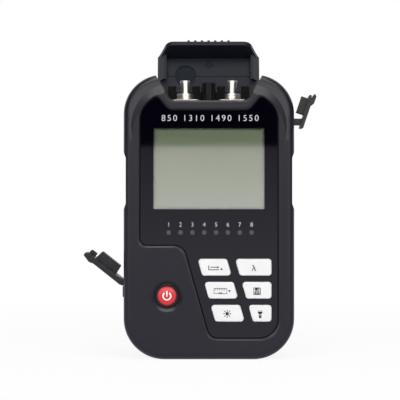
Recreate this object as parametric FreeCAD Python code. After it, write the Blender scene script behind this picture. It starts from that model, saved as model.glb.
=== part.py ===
"""Handheld optical power meter, one STEP file for each sub-part.

The meter stands upright on its flat base. +Z is up, the keys and display face -Y, and the origin is the
centre of the base face. All lengths are millimetres and all angles degrees. The port cover and the two
socket flaps are drawn closed and then turned open about their hinges.
"""
import FreeCAD, Part
import math
import os

V = FreeCAD.Vector
AXIS_X = V(1, 0, 0)
AXIS_Y = V(0, 1, 0)
AXIS_Z = V(0, 0, 1)

# Case
WIDTH = 75.4
DEPTH = 32.0
TOP_Z = 126.0                 # where the case would end if the port bay were filled in
TOP_CORNER_R = 17.4
BASE_CORNER_R = 18.0
WALL = 2.4
FRONT_EDGE_R = 3.2
BACK_EDGE_R = 4.5
SPLIT_Y = 3.0                 # parting plane between the front and rear shells
SEAM_WIDTH = 0.4
SEAM_DEPTH = 0.35
SHOULDER_FALL = 24.0          # lean of the slope from the plateau round the panel out to the shoulders
SHOULDER_R = 18.0             # corner of that plateau
SHOULDER_TOP_Z = 117.9
SHOULDER_LEAN = 4.35          # the front of the shoulders leans back from their foot up
SHOULDER_EDGE = 4.2            # from the case's side to the plateau
SHOULDER_FOOT_Z = 97.0
SHOULDER_WALL_Z = 111.0       # the front wall is twice as thick above here

# Port bay, a notch between the two shoulders
BAY_Z = 114.4
BAY_FLOOR_HALF = 17.0
BAY_TOP_HALF = 23.8
BAY_LIP = 4.6                 # depth of the lip in front of the deck
BAY_EDGE_R = 1.0              # round of the notch's front edge
BAY_CORNER_R = 3.0
SLOT_BACK_Y = -4.2            # the shoulders are slotted for the cover's front wall back to here
SLOT_GROW = 2.0

# Grip on both sides
GRIP_LOW_Z = 68.8
GRIP_HIGH_Z = 89.0
GRIP_INSET = 1.0
GRIP_RAMP = 2.6
SCALLOP_LOW_Z = 17.2
SCALLOP_PITCH = 8.05
SCALLOP_COUNT = 6
SCALLOP_DEPTH = 0.8
SCALLOP_R = 6.0
SCALLOP_HALF = 9.0            # half length of a scallop along Y, without its tapered ends
SCALLOP_TAPER = 3.2

# Front panel
PANEL_HALF = 30.7
PANEL_THICK = 0.5
PANEL_SINK = 0.3              # how far the panel lies below the case's front face
PANEL_BEVEL = 0.8             # bevel round the recess, its width and its depth
PANEL_BEVEL_DEPTH = 0.35
PANEL_TOP_Z = 110.3
PANEL_HORN_Z = 116.8
PANEL_HORN_X = 23.0
PANEL_HORN_R = 2.1
PANEL_HORN_FOOT_X = 17.6
PANEL_HORN_FOOT_R = 4.0
PANEL_SHOULDER_Z = 110.9
PANEL_SHOULDER_R = 11.0
PANEL_STEP_Z = 50.2           # lower edge of the part beside the power button
PANEL_BELOW_KEYS = 7.6        # from the lowest keys to the panel's lower edge
PANEL_GAP = 0.05
KEY_SLANT = 0.284             # sideways run of the keys' slanted sides for each millimetre down
DIAGONAL_X = -11.4            # where the panel's slanted side meets the step

# Display
DISPLAY_WIDTH = 48.9
DISPLAY_HEIGHT = 35.7
DISPLAY_Z = 84.25
DISPLAY_THICK = 2.5
DISPLAY_MARGIN = 1.1          # display glass hidden behind the panel, each side
DISPLAY_SINK = 0.3            # air between the window and the display
BACKLIGHT_THICK = 3.0

# Indicator dots
DOT_COUNT = 8
DOT_PITCH = 5.22
DOT_R = 1.1
DOT_Z = 56.1
DOT_LEFT_X = -17.75
LED_SIZE = 1.6
LED_HEIGHT = 0.8

# Keys
KEY_HEIGHT = 7.3
KEY_PITCH = 10.12
KEY_TOP_Z = 40.8              # middle height of the first row
KEY_LEFT_X = -4.0             # left side of the first row's left key at its middle height
KEY_WIDTH = 12.9
KEY_BETWEEN = 3.65
KEY_RIGHT_X = 27.5
KEY_CORNER_R = 1.3
KEY_PROUD = 0.7               # above the panel
KEY_GAP = 0.2
KEY_EDGE_R = 0.35
KEY_TRAVEL = 0.5
FLANGE_EXTRA = 0.7
FLANGE_THICK = 0.8
FLANGE_GAP = 0.1
KEY_NAMES = (("key_reference", "key_wavelength"), ("key_network", "key_save"), ("key_backlight", "key_torch"))

# Power button
POWER_X = -18.5
POWER_Z = 28.2
POWER_R = 4.2
POWER_DOME = 0.7
POWER_PROUD = 0.3             # rim of the dome above the case front
RING_R = 5.45
RING_BORE_R = 4.45
RING_THICK = 1.2
RING_SINK = 0.35
DISH_R = 7.1
DISH_DEPTH = 0.9

# Boards and what sits on them
BOARD_THICK = 1.6
BOARD_GAP = 0.8
SWITCH_SIZE = 4.5
SWITCH_BODY = 1.5
SWITCH_PLUNGER = 0.5
SWITCH_PLUNGER_R = 1.1
SWITCH_GAP = KEY_TRAVEL + 0.3 # free space in front of each switch, more than a key's travel
CHIP_SIZE = 12.0
CHIP_THICK = 1.4
CHIP_X = 8.0
CHIP_Z = 62.0
BUZZER_R = 5.0
BUZZER_HEIGHT = 4.0
BUZZER_X = -20.0
BUZZER_Z = 92.0
BATTERY_WIDTH = 40.0
BATTERY_HEIGHT = 58.0
BATTERY_THICK = 7.6
BATTERY_LOW_Z = 20.0

# Screws and their bosses
SCREW_R = 1.25
SCREW_HEAD_R = 2.3
SCREW_HEAD_THICK = 1.8
SCREW_WELL_R = 2.6
SCREW_WELL = 7.0
SCREW_FIT = 0.03
SCREW_CROSS = 0.5
SCREW_BITE = 3.0
BOSS_R = 3.2
SCREW_TOP_X = 28.8
SCREW_TOP_Z = 104.5
SCREW_LOW_X = 26.0
SCREW_LOW_Z = 11.0

# Deck, the floor of the port bay
DECK_SINK = 0.6               # below the case's lip
DECK_THICK = 2.3
DECK_BACK_WALL = 1.8
DECK_GAP = 0.1
LEDGE = 1.8
LEDGE_THICK = 2.1

# Hinge of the port cover
HINGE_Y = 13.0
HINGE_Z = 119.7
PIN_R = 1.0
PIN_FIT = 0.05
PIN_SEAT_FIT = 0.01
POST_R = 1.9
POST_WIDTH = 3.8
POST_IN_X = 5.7
POST_OUT_X = 16.7
POST_GAP = 0.3
POST_BACK = 1.0
POST_TOP_Z = 122.4
HINGE_WALL = 1.0              # wall of the deck in front of the cover's lugs
HINGE_WALL_GAP = 0.3
HINGE_WALL_Z = 119.6

# Port cover, as drawn closed
COVER_GAP = 0.35              # between the closed cover and the bay's sides
COVER_LIP_HALF = 18.9
COVER_TOP_Z = 126.3
COVER_LIP_Z = 115.0
COVER_PLATE = 1.8
COVER_WALL = 1.7
COVER_FRONT_Y = -6.55
COVER_LEAN = 18.0
COVER_BACK_Y = 16.0
COVER_BACK_WALL = 1.8
COVER_BACK_Z = 122.3
COVER_SIDE = 1.2
COVER_SIDE_Z = 121.2
COVER_SIDE_BACK_Y = 5.6
COVER_CORNER_R = 6.0
COVER_LIP_R = 4.2
COVER_OPEN = 105.0
COVER_STEP = 0.3
COVER_SWEEP_R = 7.6
RIB_COUNT = 7
RIB_PITCH = 3.06
RIB_WIDTH = 1.1
RIB_HEIGHT = 0.6
RIB_LENGTH = 5.5
COVER_DIMPLE_R = 4.95
COVER_DIMPLE = 0.35
EJECTOR_R = 2.2
EJECTOR_DEPTH = 0.2
EJECTOR_Y = -2.6
GUIDE_X = 20.1                # guide ribs inside the cover
GUIDE_WIDTH = 1.7
GUIDE_HEIGHT = 1.3
GUIDE_END_Y = 1.7
GUIDE_NOTCH = 1.6

# Optical ports
PORT_X = 10.6
PORT_Y = 3.0
PORT_TOP_Z = 124.3
FERRULE_R = 1.255
SLEEVE_WALL = 0.35
SLEEVE_LENGTH = 10.0
SLEEVE_SINK = 0.4
BARREL_R = 2.0
BARREL_LIP_R = 2.3
BARREL_LIP = 1.0
PORT_FLANGE = 12.6
PORT_FLANGE_THICK = 1.7
PORT_FLANGE_R = 1.6
BUSH_R = 3.4
BUSH_BELOW = 2.0
NUT_R = 3.78
NUT_FOOT_R = 3.1
NUT_HEIGHT = 2.8
NUT_RING = 0.9               # height of the ring at the nut's top
NUT_GROOVE = 0.35             # width and depth of the groove below it
NUT_BEVEL = 0.12
FIT = 0.02
LASER_R = 2.9
LASER_LENGTH = 13.0
DIODE_R = 2.7
DIODE_RIM_R = 3.1
DIODE_LENGTH = 4.0
LEAD_R = 0.25
LEAD_LENGTH = 6.0
LEAD_CIRCLE_R = 1.3

# Torch
TORCH_R = 3.15
TORCH_TOP_Z = 123.4
TORCH_WALL = 0.55
TORCH_FOOT_R = 4.0
TORCH_FOOT = 1.2
TORCH_LED_TOP_Z = 121.6

# Network socket on the left side
NET_Z = 44.1
NET_WIDTH = 15.2
NET_HEIGHT = 13.0
NET_LENGTH = 16.0
NET_MOUTH = 11.7
NET_MOUTH_HEIGHT = 6.8
NET_MOUTH_DEPTH = 12.0
NET_FLOOR = 2.4
NET_LATCH = 1.6
NET_LATCH_WIDTH = 6.2
SOCKET_GAP = 0.5              # between a socket and the inside of the case wall
CONTACT_COUNT = 8
CONTACT_PITCH = 1.016
CONTACT_THICK = 0.4
CONTACT_RISE = 2.2
CONTACT_LENGTH = 7.0

# Network flap, as drawn closed. Its profile is measured from the hinge axis.
NET_FLAP_OPEN = 51.5
NET_FLAP_HINGE_OUT = 0.6      # hinge axis outside the case wall
NET_FLAP_HINGE_Z = 33.3
NET_FLAP_LENGTH = 21.6
NET_FLAP_THICK = 2.45
NET_FLAP_HALF = 7.0
NET_FLAP_LIFT = 0.25          # clear of its seat when closed
NET_SEAT = 0.8                # depth of the seat in the case wall
NET_SEAT_GAP = 0.5
NET_KNUCKLE_R = 1.0
NET_PLUG = 11.5
NET_PLUG_TAPER = 0.5
NET_PLUG_DEPTH = 4.2
NET_PLUG_GAP = 0.3
NET_LIP = 0.65                # bulge of the finger lip
NET_LIP_LENGTH = 5.8
NET_NICK = 0.9                # nick between the finger lip and the latch
NET_LATCH_FROM = 17.2
NET_LATCH_LENGTH = 3.2
NET_LATCH_HALF = 1.6
NET_LATCH_DEPTH = 3.0         # beyond the hinge axis
STRAP_LENGTH = 4.7
STRAP_THICK = 0.8
STRAP_HALF = 4.5

# Charging socket on the right side
CHARGE_Z = 112.4
CHARGE_WIDTH = 8.9
CHARGE_HEIGHT = 3.3
CHARGE_WALL = 0.3
CHARGE_LENGTH = 7.3
CHARGE_X = 32.4               # mouth of the socket
TONGUE_WIDTH = 6.7
TONGUE_THICK = 0.7
TONGUE_LENGTH = 5.6

# Charging flap, as drawn closed
CHARGE_FLAP_OPEN = 18.7
CHARGE_POLE_OUT = 1.4         # axis that the tether's bending amounts to, outside the case wall
CHARGE_POLE_Z = 95.5
CHARGE_FLAP_LOW_Z = 102.5
CHARGE_FLAP_TOP_Z = 116.9
CHARGE_FLAP_THICK = 1.5
CHARGE_FLAP_HALF = 4.5
CHARGE_FLAP_LIFT = 0.3
CHARGE_FLAP_LEAN = 0.5        # how far the inner face leans in at the top, like the case
CHARGE_PLUG = 7.9
CHARGE_PLUG_HEIGHT = 2.2
CHARGE_PLUG_DEPTH = 3.6
CHARGE_LIP = 1.1
CHARGE_LIP_LENGTH = 3.8
CHARGE_LIP_RISE = 2.2
CHARGE_BALL_R = 0.65
TETHER_Z = 105.2
TETHER_HEIGHT = 3.0
TETHER_HALF = 1.4
TETHER_IN = 1.7               # end of the tether inside the case's outer face, at rest
TETHER_HOLE_LOW_Z = 101.7
TETHER_HOLE_HIGH_Z = 107.4
TETHER_HOLE_HALF = 1.75

# Worked out from the values above
HALF = WIDTH / 2
FRONT = -DEPTH / 2
BACK = DEPTH / 2
INNER_FRONT = FRONT + WALL
INNER_BACK = BACK - WALL
BAY_SLANT = (BAY_TOP_HALF - BAY_FLOOR_HALF) / (TOP_Z - BAY_Z)
PANEL_FRONT = FRONT + PANEL_SINK
PANEL_BACK = PANEL_FRONT + PANEL_THICK
DISPLAY_FRONT = PANEL_BACK + DISPLAY_SINK
DISPLAY_BACK = DISPLAY_FRONT + DISPLAY_THICK
BOARD_FRONT = DISPLAY_BACK + BACKLIGHT_THICK
BOARD_BACK = BOARD_FRONT + BOARD_THICK
SWITCH_TOP = BOARD_FRONT - SWITCH_BODY - SWITCH_PLUNGER
PANEL_LOW_Z = KEY_TOP_Z - 2 * KEY_PITCH - KEY_HEIGHT / 2 - PANEL_BELOW_KEYS
KEY_FRONT = PANEL_FRONT - KEY_PROUD
STEM_END = SWITCH_TOP - SWITCH_GAP
DECK_TOP = BAY_Z - DECK_SINK
DECK_BASE = DECK_TOP - DECK_THICK
DECK_FRONT = FRONT + BAY_LIP
DECK_BACK = BACK - DECK_BACK_WALL
PORT_FLANGE_TOP = DECK_TOP + PORT_FLANGE_THICK
BUSH_BASE = DECK_BASE - BUSH_BELOW
SLEEVE_R = FERRULE_R + SLEEVE_WALL
NET_Y = BOARD_BACK + NET_FLOOR + NET_MOUTH_HEIGHT / 2
NET_X = -(HALF - WALL - SOCKET_GAP)
CHARGE_Y = BOARD_BACK + CHARGE_HEIGHT / 2
SCREW_PLACES = (
    (-SCREW_TOP_X, SCREW_TOP_Z), (SCREW_TOP_X, SCREW_TOP_Z),
    (-SCREW_LOW_X, SCREW_LOW_Z), (SCREW_LOW_X, SCREW_LOW_Z),
)
FAR = 200.0                   # longer than anything in the model


def box(x, y, z):
    """A block between two limits along each axis."""
    return Part.makeBox(x[1] - x[0], y[1] - y[0], z[1] - z[0], V(x[0], y[0], z[0]))


def rod(start, axis, radius, length):
    """A cylinder from its start point along an axis."""
    return Part.makeCylinder(radius, length, V(*start), axis)


def pipe(start, axis, radius, bore, length):
    """A straight tube."""
    return rod(start, axis, radius, length).cut(rod(start, axis, bore, length))


def fuse(*shapes):
    """One solid from several that touch."""
    return shapes[0].fuse(list(shapes[1:])).removeSplitter()


def rounded_wire(corners, y):
    """A closed outline in the plane Y = y. Each corner is (x, z, radius)."""
    stops = []
    for i, (x, z, radius) in enumerate(corners):
        here = V(x, y, z)
        if radius == 0:
            stops.append((here, None, here))
            continue
        before = corners[i - 1]
        after = corners[(i + 1) % len(corners)]
        back = (V(before[0], y, before[1]) - here).normalize()
        ahead = (V(after[0], y, after[1]) - here).normalize()
        half_angle = back.getAngle(ahead) / 2
        reach = radius / math.tan(half_angle)
        inward = (back + ahead).normalize()
        middle = here + inward * (radius / math.sin(half_angle) - radius)
        stops.append((here + back * reach, middle, here + ahead * reach))
    edges = []
    for i, (start, middle, end) in enumerate(stops):
        if middle is not None:
            edges.append(Part.Arc(start, middle, end).toShape())
        following = stops[(i + 1) % len(stops)][0]
        if (following - end).Length > 1e-6:
            edges.append(Part.LineSegment(end, following).toShape())
    return Part.Wire(edges)


def prism(corners, y):
    """A rounded outline in XZ drawn out along Y between two limits."""
    return Part.Face(rounded_wire(corners, y[0])).extrude(V(0, y[1] - y[0], 0))


def side_prism(points, x):
    """A polygon of (y, z) points drawn out along X between two limits."""
    wire = Part.makePolygon([V(x[0], *point) for point in points + points[:1]])
    return Part.Face(wire).extrude(V(x[1] - x[0], 0, 0))


def turned(points, base, axis):
    """A solid of revolution: (radius, height) points about an axis along +Z or -Y through base."""
    if axis == AXIS_Z:
        places = [V(base[0] + r, base[1], base[2] + h) for r, h in points]
    else:
        places = [V(base[0] + r, base[1] - h, base[2]) for r, h in points]
    return Part.Face(Part.makePolygon(places + places[:1])).revolve(V(*base), axis, 360)


def edges_at_y(shape, y):
    """The edges that lie in the plane Y = y."""
    return [e for e in shape.Edges if max(abs(e.BoundBox.YMin - y), abs(e.BoundBox.YMax - y)) < 1e-4]


# ---------------------------------------------------------------- case

def case_outline(inset):
    """Front view of the case, moved inwards by an inset."""
    half = HALF - inset
    top = TOP_Z - inset
    top_r = TOP_CORNER_R - inset
    base_r = BASE_CORNER_R - inset
    return [(-half, inset, base_r), (-half, top, top_r), (half, top, top_r), (half, inset, base_r)]


def bay_half(z):
    """Half width of the port bay at a height."""
    return BAY_FLOOR_HALF + (z - BAY_Z) * BAY_SLANT


def bay_notch(grow, floor_z, y, corner_r=0):
    """The bay's tapered opening, widened by grow, from a floor up past the top."""
    high = TOP_Z + WALL
    return prism([
        (-bay_half(floor_z) - grow, floor_z, corner_r), (-bay_half(high) - grow, high, 0),
        (bay_half(high) + grow, high, 0), (bay_half(floor_z) + grow, floor_z, corner_r),
    ], y)


def block():
    """The case as a full block. The front of its shoulders leans back, and its outlines are rounded."""
    high = TOP_Z + WALL
    lean = (high - SHOULDER_FOOT_Z) * math.tan(math.radians(SHOULDER_LEAN))
    whole = prism(case_outline(0), (FRONT, BACK)).cut(side_prism([
        (FRONT - WALL, SHOULDER_FOOT_Z), (FRONT, SHOULDER_FOOT_Z), (FRONT + lean, high), (FRONT - WALL, high),
    ], (-FAR, FAR)))
    front = [
        e for e in whole.Edges
        if e.BoundBox.YMax < 0 and not SHOULDER_FOOT_Z - FIT < e.CenterOfMass.z < SHOULDER_FOOT_Z + FIT
    ]
    whole = whole.makeFillet(FRONT_EDGE_R, front)
    return whole.makeFillet(BACK_EDGE_R, edges_at_y(whole, BACK))


def plateau():
    """Level ground round the panel, with a slope from it down to the leaning shoulders."""
    spread = DEPTH / math.tan(math.radians(SHOULDER_FALL))
    half = HALF - SHOULDER_EDGE
    ground = Part.makeLoft([rounded_wire([
        (-half - grow, SHOULDER_FOOT_Z / 2 - grow, SHOULDER_R + grow),
        (-half - grow, SHOULDER_TOP_Z + grow, SHOULDER_R + grow),
        (half + grow, SHOULDER_TOP_Z + grow, SHOULDER_R + grow),
        (half + grow, SHOULDER_FOOT_Z / 2 - grow, SHOULDER_R + grow),
    ], y) for grow, y in ((0, FRONT), (spread, BACK))], True, True)
    return ground.common(prism(case_outline(FRONT_EDGE_R), (FRONT, 0)))


def grip_pocket(side):
    """The smooth sunken stretch of one side, with ramped ends."""
    deep = side * (HALF - GRIP_INSET)
    out = side * (HALF + GRIP_INSET)
    return prism([
        (out, GRIP_LOW_Z - 2 * GRIP_RAMP, 0), (deep, GRIP_LOW_Z, 0),
        (deep, GRIP_HIGH_Z, 0), (out, GRIP_HIGH_Z + 2 * GRIP_RAMP, 0),
    ], (FRONT, BACK))


def scallop(side, z):
    """One finger groove of the grip, a cylinder across the side with tapered ends."""
    x = side * (HALF + SCALLOP_R - SCALLOP_DEPTH)
    thin = SCALLOP_R - SCALLOP_DEPTH
    reach = SCALLOP_HALF + SCALLOP_TAPER
    return fuse(
        rod((x, -SCALLOP_HALF, z), AXIS_Y, SCALLOP_R, 2 * SCALLOP_HALF),
        Part.makeCone(SCALLOP_R, thin, SCALLOP_TAPER, V(x, SCALLOP_HALF, z), AXIS_Y),
        Part.makeCone(thin, SCALLOP_R, SCALLOP_TAPER, V(x, -reach, z), AXIS_Y),
    )


def scallops():
    """All grooves of the grip, except where the network flap lies."""
    grooves = []
    for i in range(SCALLOP_COUNT):
        z = SCALLOP_LOW_Z + i * SCALLOP_PITCH
        grooves.append(scallop(1, z))
        under_flap = NET_FLAP_HINGE_Z - SCALLOP_PITCH / 2 < z < NET_FLAP_HINGE_Z + NET_FLAP_LENGTH
        if not under_flap:
            grooves.append(scallop(-1, z))
    return grooves


def panel_outline(grow):
    """Front view of the panel. Its side beside the power button slants like the keys."""
    half = PANEL_HALF + grow
    low = PANEL_LOW_Z - grow
    diagonal_low = DIAGONAL_X + (PANEL_STEP_Z - low) * KEY_SLANT
    return [
        (-half, PANEL_STEP_Z - grow, 3.5), (-half, PANEL_SHOULDER_Z + grow / 2, PANEL_SHOULDER_R),
        (-PANEL_HORN_X, PANEL_HORN_Z + grow, PANEL_HORN_R),
        (-PANEL_HORN_FOOT_X + grow, PANEL_TOP_Z + grow, PANEL_HORN_FOOT_R),
        (PANEL_HORN_FOOT_X - grow, PANEL_TOP_Z + grow, PANEL_HORN_FOOT_R),
        (PANEL_HORN_X, PANEL_HORN_Z + grow, PANEL_HORN_R),
        (half, PANEL_SHOULDER_Z + grow / 2, PANEL_SHOULDER_R), (half, low, 8.8),
        (diagonal_low - grow, low, 5.0), (DIAGONAL_X - grow, PANEL_STEP_Z - grow, 5.3),
    ]


def key_corners(row, right, grow):
    """Front view of one key: slanted sides, apart from the right key's own right side."""
    middle_z = KEY_TOP_Z - row * KEY_PITCH
    shift = row * KEY_PITCH * KEY_SLANT
    lean = KEY_HEIGHT / 2 * KEY_SLANT
    side = grow * math.hypot(1, KEY_SLANT)
    left_x = KEY_LEFT_X + shift
    right_x = left_x + KEY_WIDTH
    if right:
        left_x = right_x + KEY_BETWEEN
        right_x = KEY_RIGHT_X
    right_lean = 0 if right else lean
    high = middle_z + KEY_HEIGHT / 2 + grow
    low = middle_z - KEY_HEIGHT / 2 - grow
    radius = KEY_CORNER_R + grow
    slip = grow * KEY_SLANT
    right_slip = 0 if right else slip
    return [
        (left_x - side + lean + slip, low, radius), (left_x - side - lean - slip, high, radius),
        (right_x + side - right_lean - right_slip, high, radius),
        (right_x + side + right_lean + right_slip, low, radius),
    ]


def key_middle(row, right):
    """Centre of a key's face."""
    corners = key_corners(row, right, 0)
    return sum(c[0] for c in corners) / 4, sum(c[1] for c in corners) / 4


def every_key():
    """Row and side of each key."""
    return [(row, right) for row in range(len(KEY_NAMES)) for right in (0, 1)]


def display_corners(grow):
    """Front view of the display opening."""
    half = DISPLAY_WIDTH / 2 + grow
    rise = DISPLAY_HEIGHT / 2 + grow
    low = DISPLAY_Z - rise
    high = DISPLAY_Z + rise
    return [(-half, low, 0.5), (-half, high, 0.5), (half, high, 0.5), (half, low, 0.5)]


def dot_places():
    """Centres of the indicator dots."""
    return [(DOT_LEFT_X + i * DOT_PITCH, DOT_Z) for i in range(DOT_COUNT)]


def power_dish():
    """The sunken, ramped seat round the power button, with its counterbore and hole."""
    base = (POWER_X, FRONT, POWER_Z)
    ring_floor = RING_SINK + RING_THICK
    return turned([
        (0, WALL), (DISH_R + WALL, WALL), (DISH_R, 0), (RING_R, -DISH_DEPTH),
        (RING_R, -ring_floor), (RING_BORE_R, -ring_floor), (RING_BORE_R, -2 * WALL), (0, -2 * WALL),
    ], base, AXIS_Y)


def front_openings():
    """Everything cut in the front face: the panel's recess and what shows or moves through it."""
    through = (FRONT, INNER_FRONT + WALL / 2)
    bevel = Part.makeLoft([
        rounded_wire(panel_outline(PANEL_GAP + PANEL_BEVEL), FRONT),
        rounded_wire(panel_outline(PANEL_GAP), FRONT + PANEL_BEVEL_DEPTH),
    ], True, True)
    cuts = [prism(panel_outline(PANEL_GAP), (FRONT, PANEL_BACK)), bevel]
    cuts.append(prism(display_corners(DISPLAY_MARGIN + PANEL_GAP), through))
    for row, right in every_key():
        cuts.append(prism(key_corners(row, right, KEY_GAP), through))
    for x, z in dot_places():
        cuts.append(rod((x, FRONT, z), AXIS_Y, DOT_R, 1.5 * WALL))
    cuts.append(power_dish())
    return cuts


def bay_openings():
    """The deck's seat in the bay, the way down through it and the room that the open cover swings in."""
    seat = BAY_FLOOR_HALF
    return [
        box((-seat, seat), (DECK_FRONT, DECK_BACK), (DECK_BASE, BAY_Z)),
        box((LEDGE - seat, seat - LEDGE), (DECK_FRONT + LEDGE, DECK_BACK - LEDGE),
            (DECK_BASE - 2 * LEDGE_THICK, DECK_BASE)),
        rod((-BAY_TOP_HALF, HINGE_Y, HINGE_Z), AXIS_X, COVER_SWEEP_R, 2 * BAY_TOP_HALF).common(
            box((-FAR, FAR), (-FAR, FAR), (BAY_Z, FAR))),
    ]


def side_openings():
    """Socket mouths, the network flap's seat and the holes for its latch and for the tether."""
    wall = WALL + SOCKET_GAP
    net_half = NET_PLUG / 2 + 2 * NET_PLUG_GAP
    latch_top = NET_Y + NET_MOUTH_HEIGHT / 2 + NET_LATCH
    net_y = (NET_Y - NET_MOUTH_HEIGHT / 2 - NET_PLUG_GAP, latch_top + NET_PLUG_GAP)
    seat_half = NET_FLAP_HALF + NET_SEAT_GAP
    latch_half = NET_LATCH_HALF + NET_PLUG_GAP
    latch_z = NET_FLAP_HINGE_Z + NET_LATCH_FROM
    plug_half = CHARGE_PLUG / 2 + NET_PLUG_GAP
    tunnel_half = CHARGE_PLUG_HEIGHT / 2 + NET_PLUG_GAP
    left = (-HALF - WALL, wall - HALF)
    seat_low = NET_FLAP_HINGE_Z - NET_KNUCKLE_R - NET_SEAT_GAP
    seat_high = NET_FLAP_HINGE_Z + NET_FLAP_LENGTH + NET_SEAT_GAP
    return [
        box(left, net_y, (NET_Z - net_half, NET_Z + net_half)),
        box((-HALF - WALL, NET_SEAT - HALF), (NET_Y - seat_half, NET_Y + seat_half), (seat_low, seat_high)),
        box(left, (NET_Y - latch_half, NET_Y + latch_half),
            (latch_z - NET_PLUG_GAP, latch_z + NET_LATCH_LENGTH + 2 * NET_PLUG_GAP)),
        box((CHARGE_X, HALF + WALL), (CHARGE_Y - tunnel_half, CHARGE_Y + tunnel_half),
            (CHARGE_Z - plug_half, CHARGE_Z + plug_half + 2 * NET_PLUG_GAP / 3)),
        box((HALF - wall, HALF + WALL), (CHARGE_Y - TETHER_HOLE_HALF, CHARGE_Y + TETHER_HOLE_HALF),
            (TETHER_HOLE_LOW_Z, TETHER_HOLE_HIGH_Z)),
    ]


def seam():
    """A fine groove round the case along the parting plane."""
    y = (SPLIT_Y - SEAM_WIDTH / 2, SPLIT_Y + SEAM_WIDTH / 2)
    return prism(case_outline(-WALL), y).cut(prism(case_outline(SEAM_DEPTH), y))


def housing():
    """Both shells in one piece: rounded outside, hollow inside, with every opening."""
    whole = block().fuse(plateau()).removeSplitter()
    whole = whole.cut(bay_notch(0, BAY_Z, (FRONT - WALL, DECK_FRONT), BAY_CORNER_R))
    rim = [
        e for e in edges_at_y(whole, FRONT)
        if e.BoundBox.ZMin > BAY_Z - FIT and e.BoundBox.XMax < BAY_TOP_HALF and e.BoundBox.XMin > -BAY_TOP_HALF
    ]
    whole = whole.makeFillet(BAY_EDGE_R, rim)
    whole = whole.cut([
        bay_notch(0, BAY_Z, (DECK_FRONT, BACK + WALL)), bay_notch(SLOT_GROW, BAY_Z, (DECK_FRONT, SLOT_BACK_Y)),
    ])
    cavity = prism(case_outline(WALL), (INNER_FRONT, INNER_BACK))
    cavity = cavity.cut([
        bay_notch(WALL, DECK_BASE - LEDGE_THICK, (FRONT, BACK)),
        box((-FAR, FAR), (FRONT, INNER_FRONT + WALL), (SHOULDER_WALL_Z, FAR)),
    ])
    grips = [grip_pocket(1), grip_pocket(-1)]
    for cuts in ([cavity], grips, [seam()], scallops(), front_openings(), bay_openings(), side_openings()):
        whole = whole.cut(cuts)
    return whole


def boss(x, z, y):
    """One screw boss between two limits along Y."""
    return rod((x, y[0], z), AXIS_Y, BOSS_R, y[1] - y[0])


def front_case(shell):
    """The front shell, with a blind boss for each screw."""
    half = shell.common(box((-FAR, FAR), (-FAR, SPLIT_Y), (-FAR, FAR)))
    bosses = [boss(x, z, (INNER_FRONT, BOARD_FRONT)) for x, z in SCREW_PLACES]
    bite_y = BOARD_FRONT - SCREW_BITE
    holes = [rod((x, bite_y, z), AXIS_Y, SCREW_R + SCREW_FIT, DEPTH) for x, z in SCREW_PLACES]
    return half.fuse(bosses).cut(holes).removeSplitter()


def rear_case(shell):
    """The rear shell, with a boss that takes each screw down to the board."""
    half = shell.common(box((-FAR, FAR), (SPLIT_Y, FAR), (-FAR, FAR)))
    bosses = [boss(x, z, (BOARD_BACK, INNER_BACK)) for x, z in SCREW_PLACES]
    holes = [rod((x, BOARD_BACK, z), AXIS_Y, SCREW_R + SCREW_FIT, DEPTH) for x, z in SCREW_PLACES]
    holes += [rod((x, BACK - SCREW_WELL, z), AXIS_Y, SCREW_WELL_R, DEPTH) for x, z in SCREW_PLACES]
    return half.fuse(bosses).cut(holes).removeSplitter()


def case_screws():
    """Four screws from the back, each with a head and a cross recess."""
    screws = []
    for x, z in SCREW_PLACES:
        seat = BACK - SCREW_WELL
        tip = BOARD_FRONT - SCREW_BITE
        screw = fuse(
            rod((x, seat, z), AXIS_Y, SCREW_HEAD_R, SCREW_HEAD_THICK),
            rod((x, tip, z), AXIS_Y, SCREW_R, seat - tip),
        )
        long = SCREW_HEAD_R * 0.6
        slot_y = (seat + SCREW_HEAD_THICK / 2, seat + 2 * SCREW_HEAD_THICK)
        cross = fuse(
            box((x - long, x + long), slot_y, (z - SCREW_CROSS / 2, z + SCREW_CROSS / 2)),
            box((x - SCREW_CROSS / 2, x + SCREW_CROSS / 2), slot_y, (z - long, z + long)),
        )
        screws.append(screw.cut(cross))
    return Part.makeCompound(screws)


# ---------------------------------------------------------------- front

def front_panel():
    """The glossy panel, with openings for the display, the dots and the keys."""
    panel = prism(panel_outline(0), (PANEL_FRONT, PANEL_BACK))
    depth = (PANEL_FRONT, PANEL_BACK)
    cuts = [prism(display_corners(0), depth)]
    cuts += [prism(key_corners(row, right, KEY_GAP), depth) for row, right in every_key()]
    cuts += [rod((x, PANEL_FRONT, z), AXIS_Y, DOT_R, PANEL_THICK) for x, z in dot_places()]
    return panel.cut(cuts)


def display_window():
    """Clear window, flush with the panel."""
    return prism(display_corners(0), (PANEL_FRONT, PANEL_BACK))


def lcd_module():
    """The display glass, held behind the panel's edge."""
    return prism(display_corners(DISPLAY_MARGIN), (DISPLAY_FRONT, DISPLAY_BACK))


def backlight():
    """The light box between the display and the board."""
    return prism(display_corners(0), (DISPLAY_BACK, BOARD_FRONT))


def dot_lenses():
    """Eight lenses, flush with the panel, down to the inside of the case wall."""
    return Part.makeCompound([
        rod((x, PANEL_FRONT, z), AXIS_Y, DOT_R - FIT, INNER_FRONT - PANEL_FRONT) for x, z in dot_places()])


def indicator_leds():
    """Eight lamps on the board behind the lenses."""
    half = LED_SIZE / 2
    return Part.makeCompound([
        box((x - half, x + half), (BOARD_FRONT - LED_HEIGHT, BOARD_FRONT), (z - half, z + half))
        for x, z in dot_places()])


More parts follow.
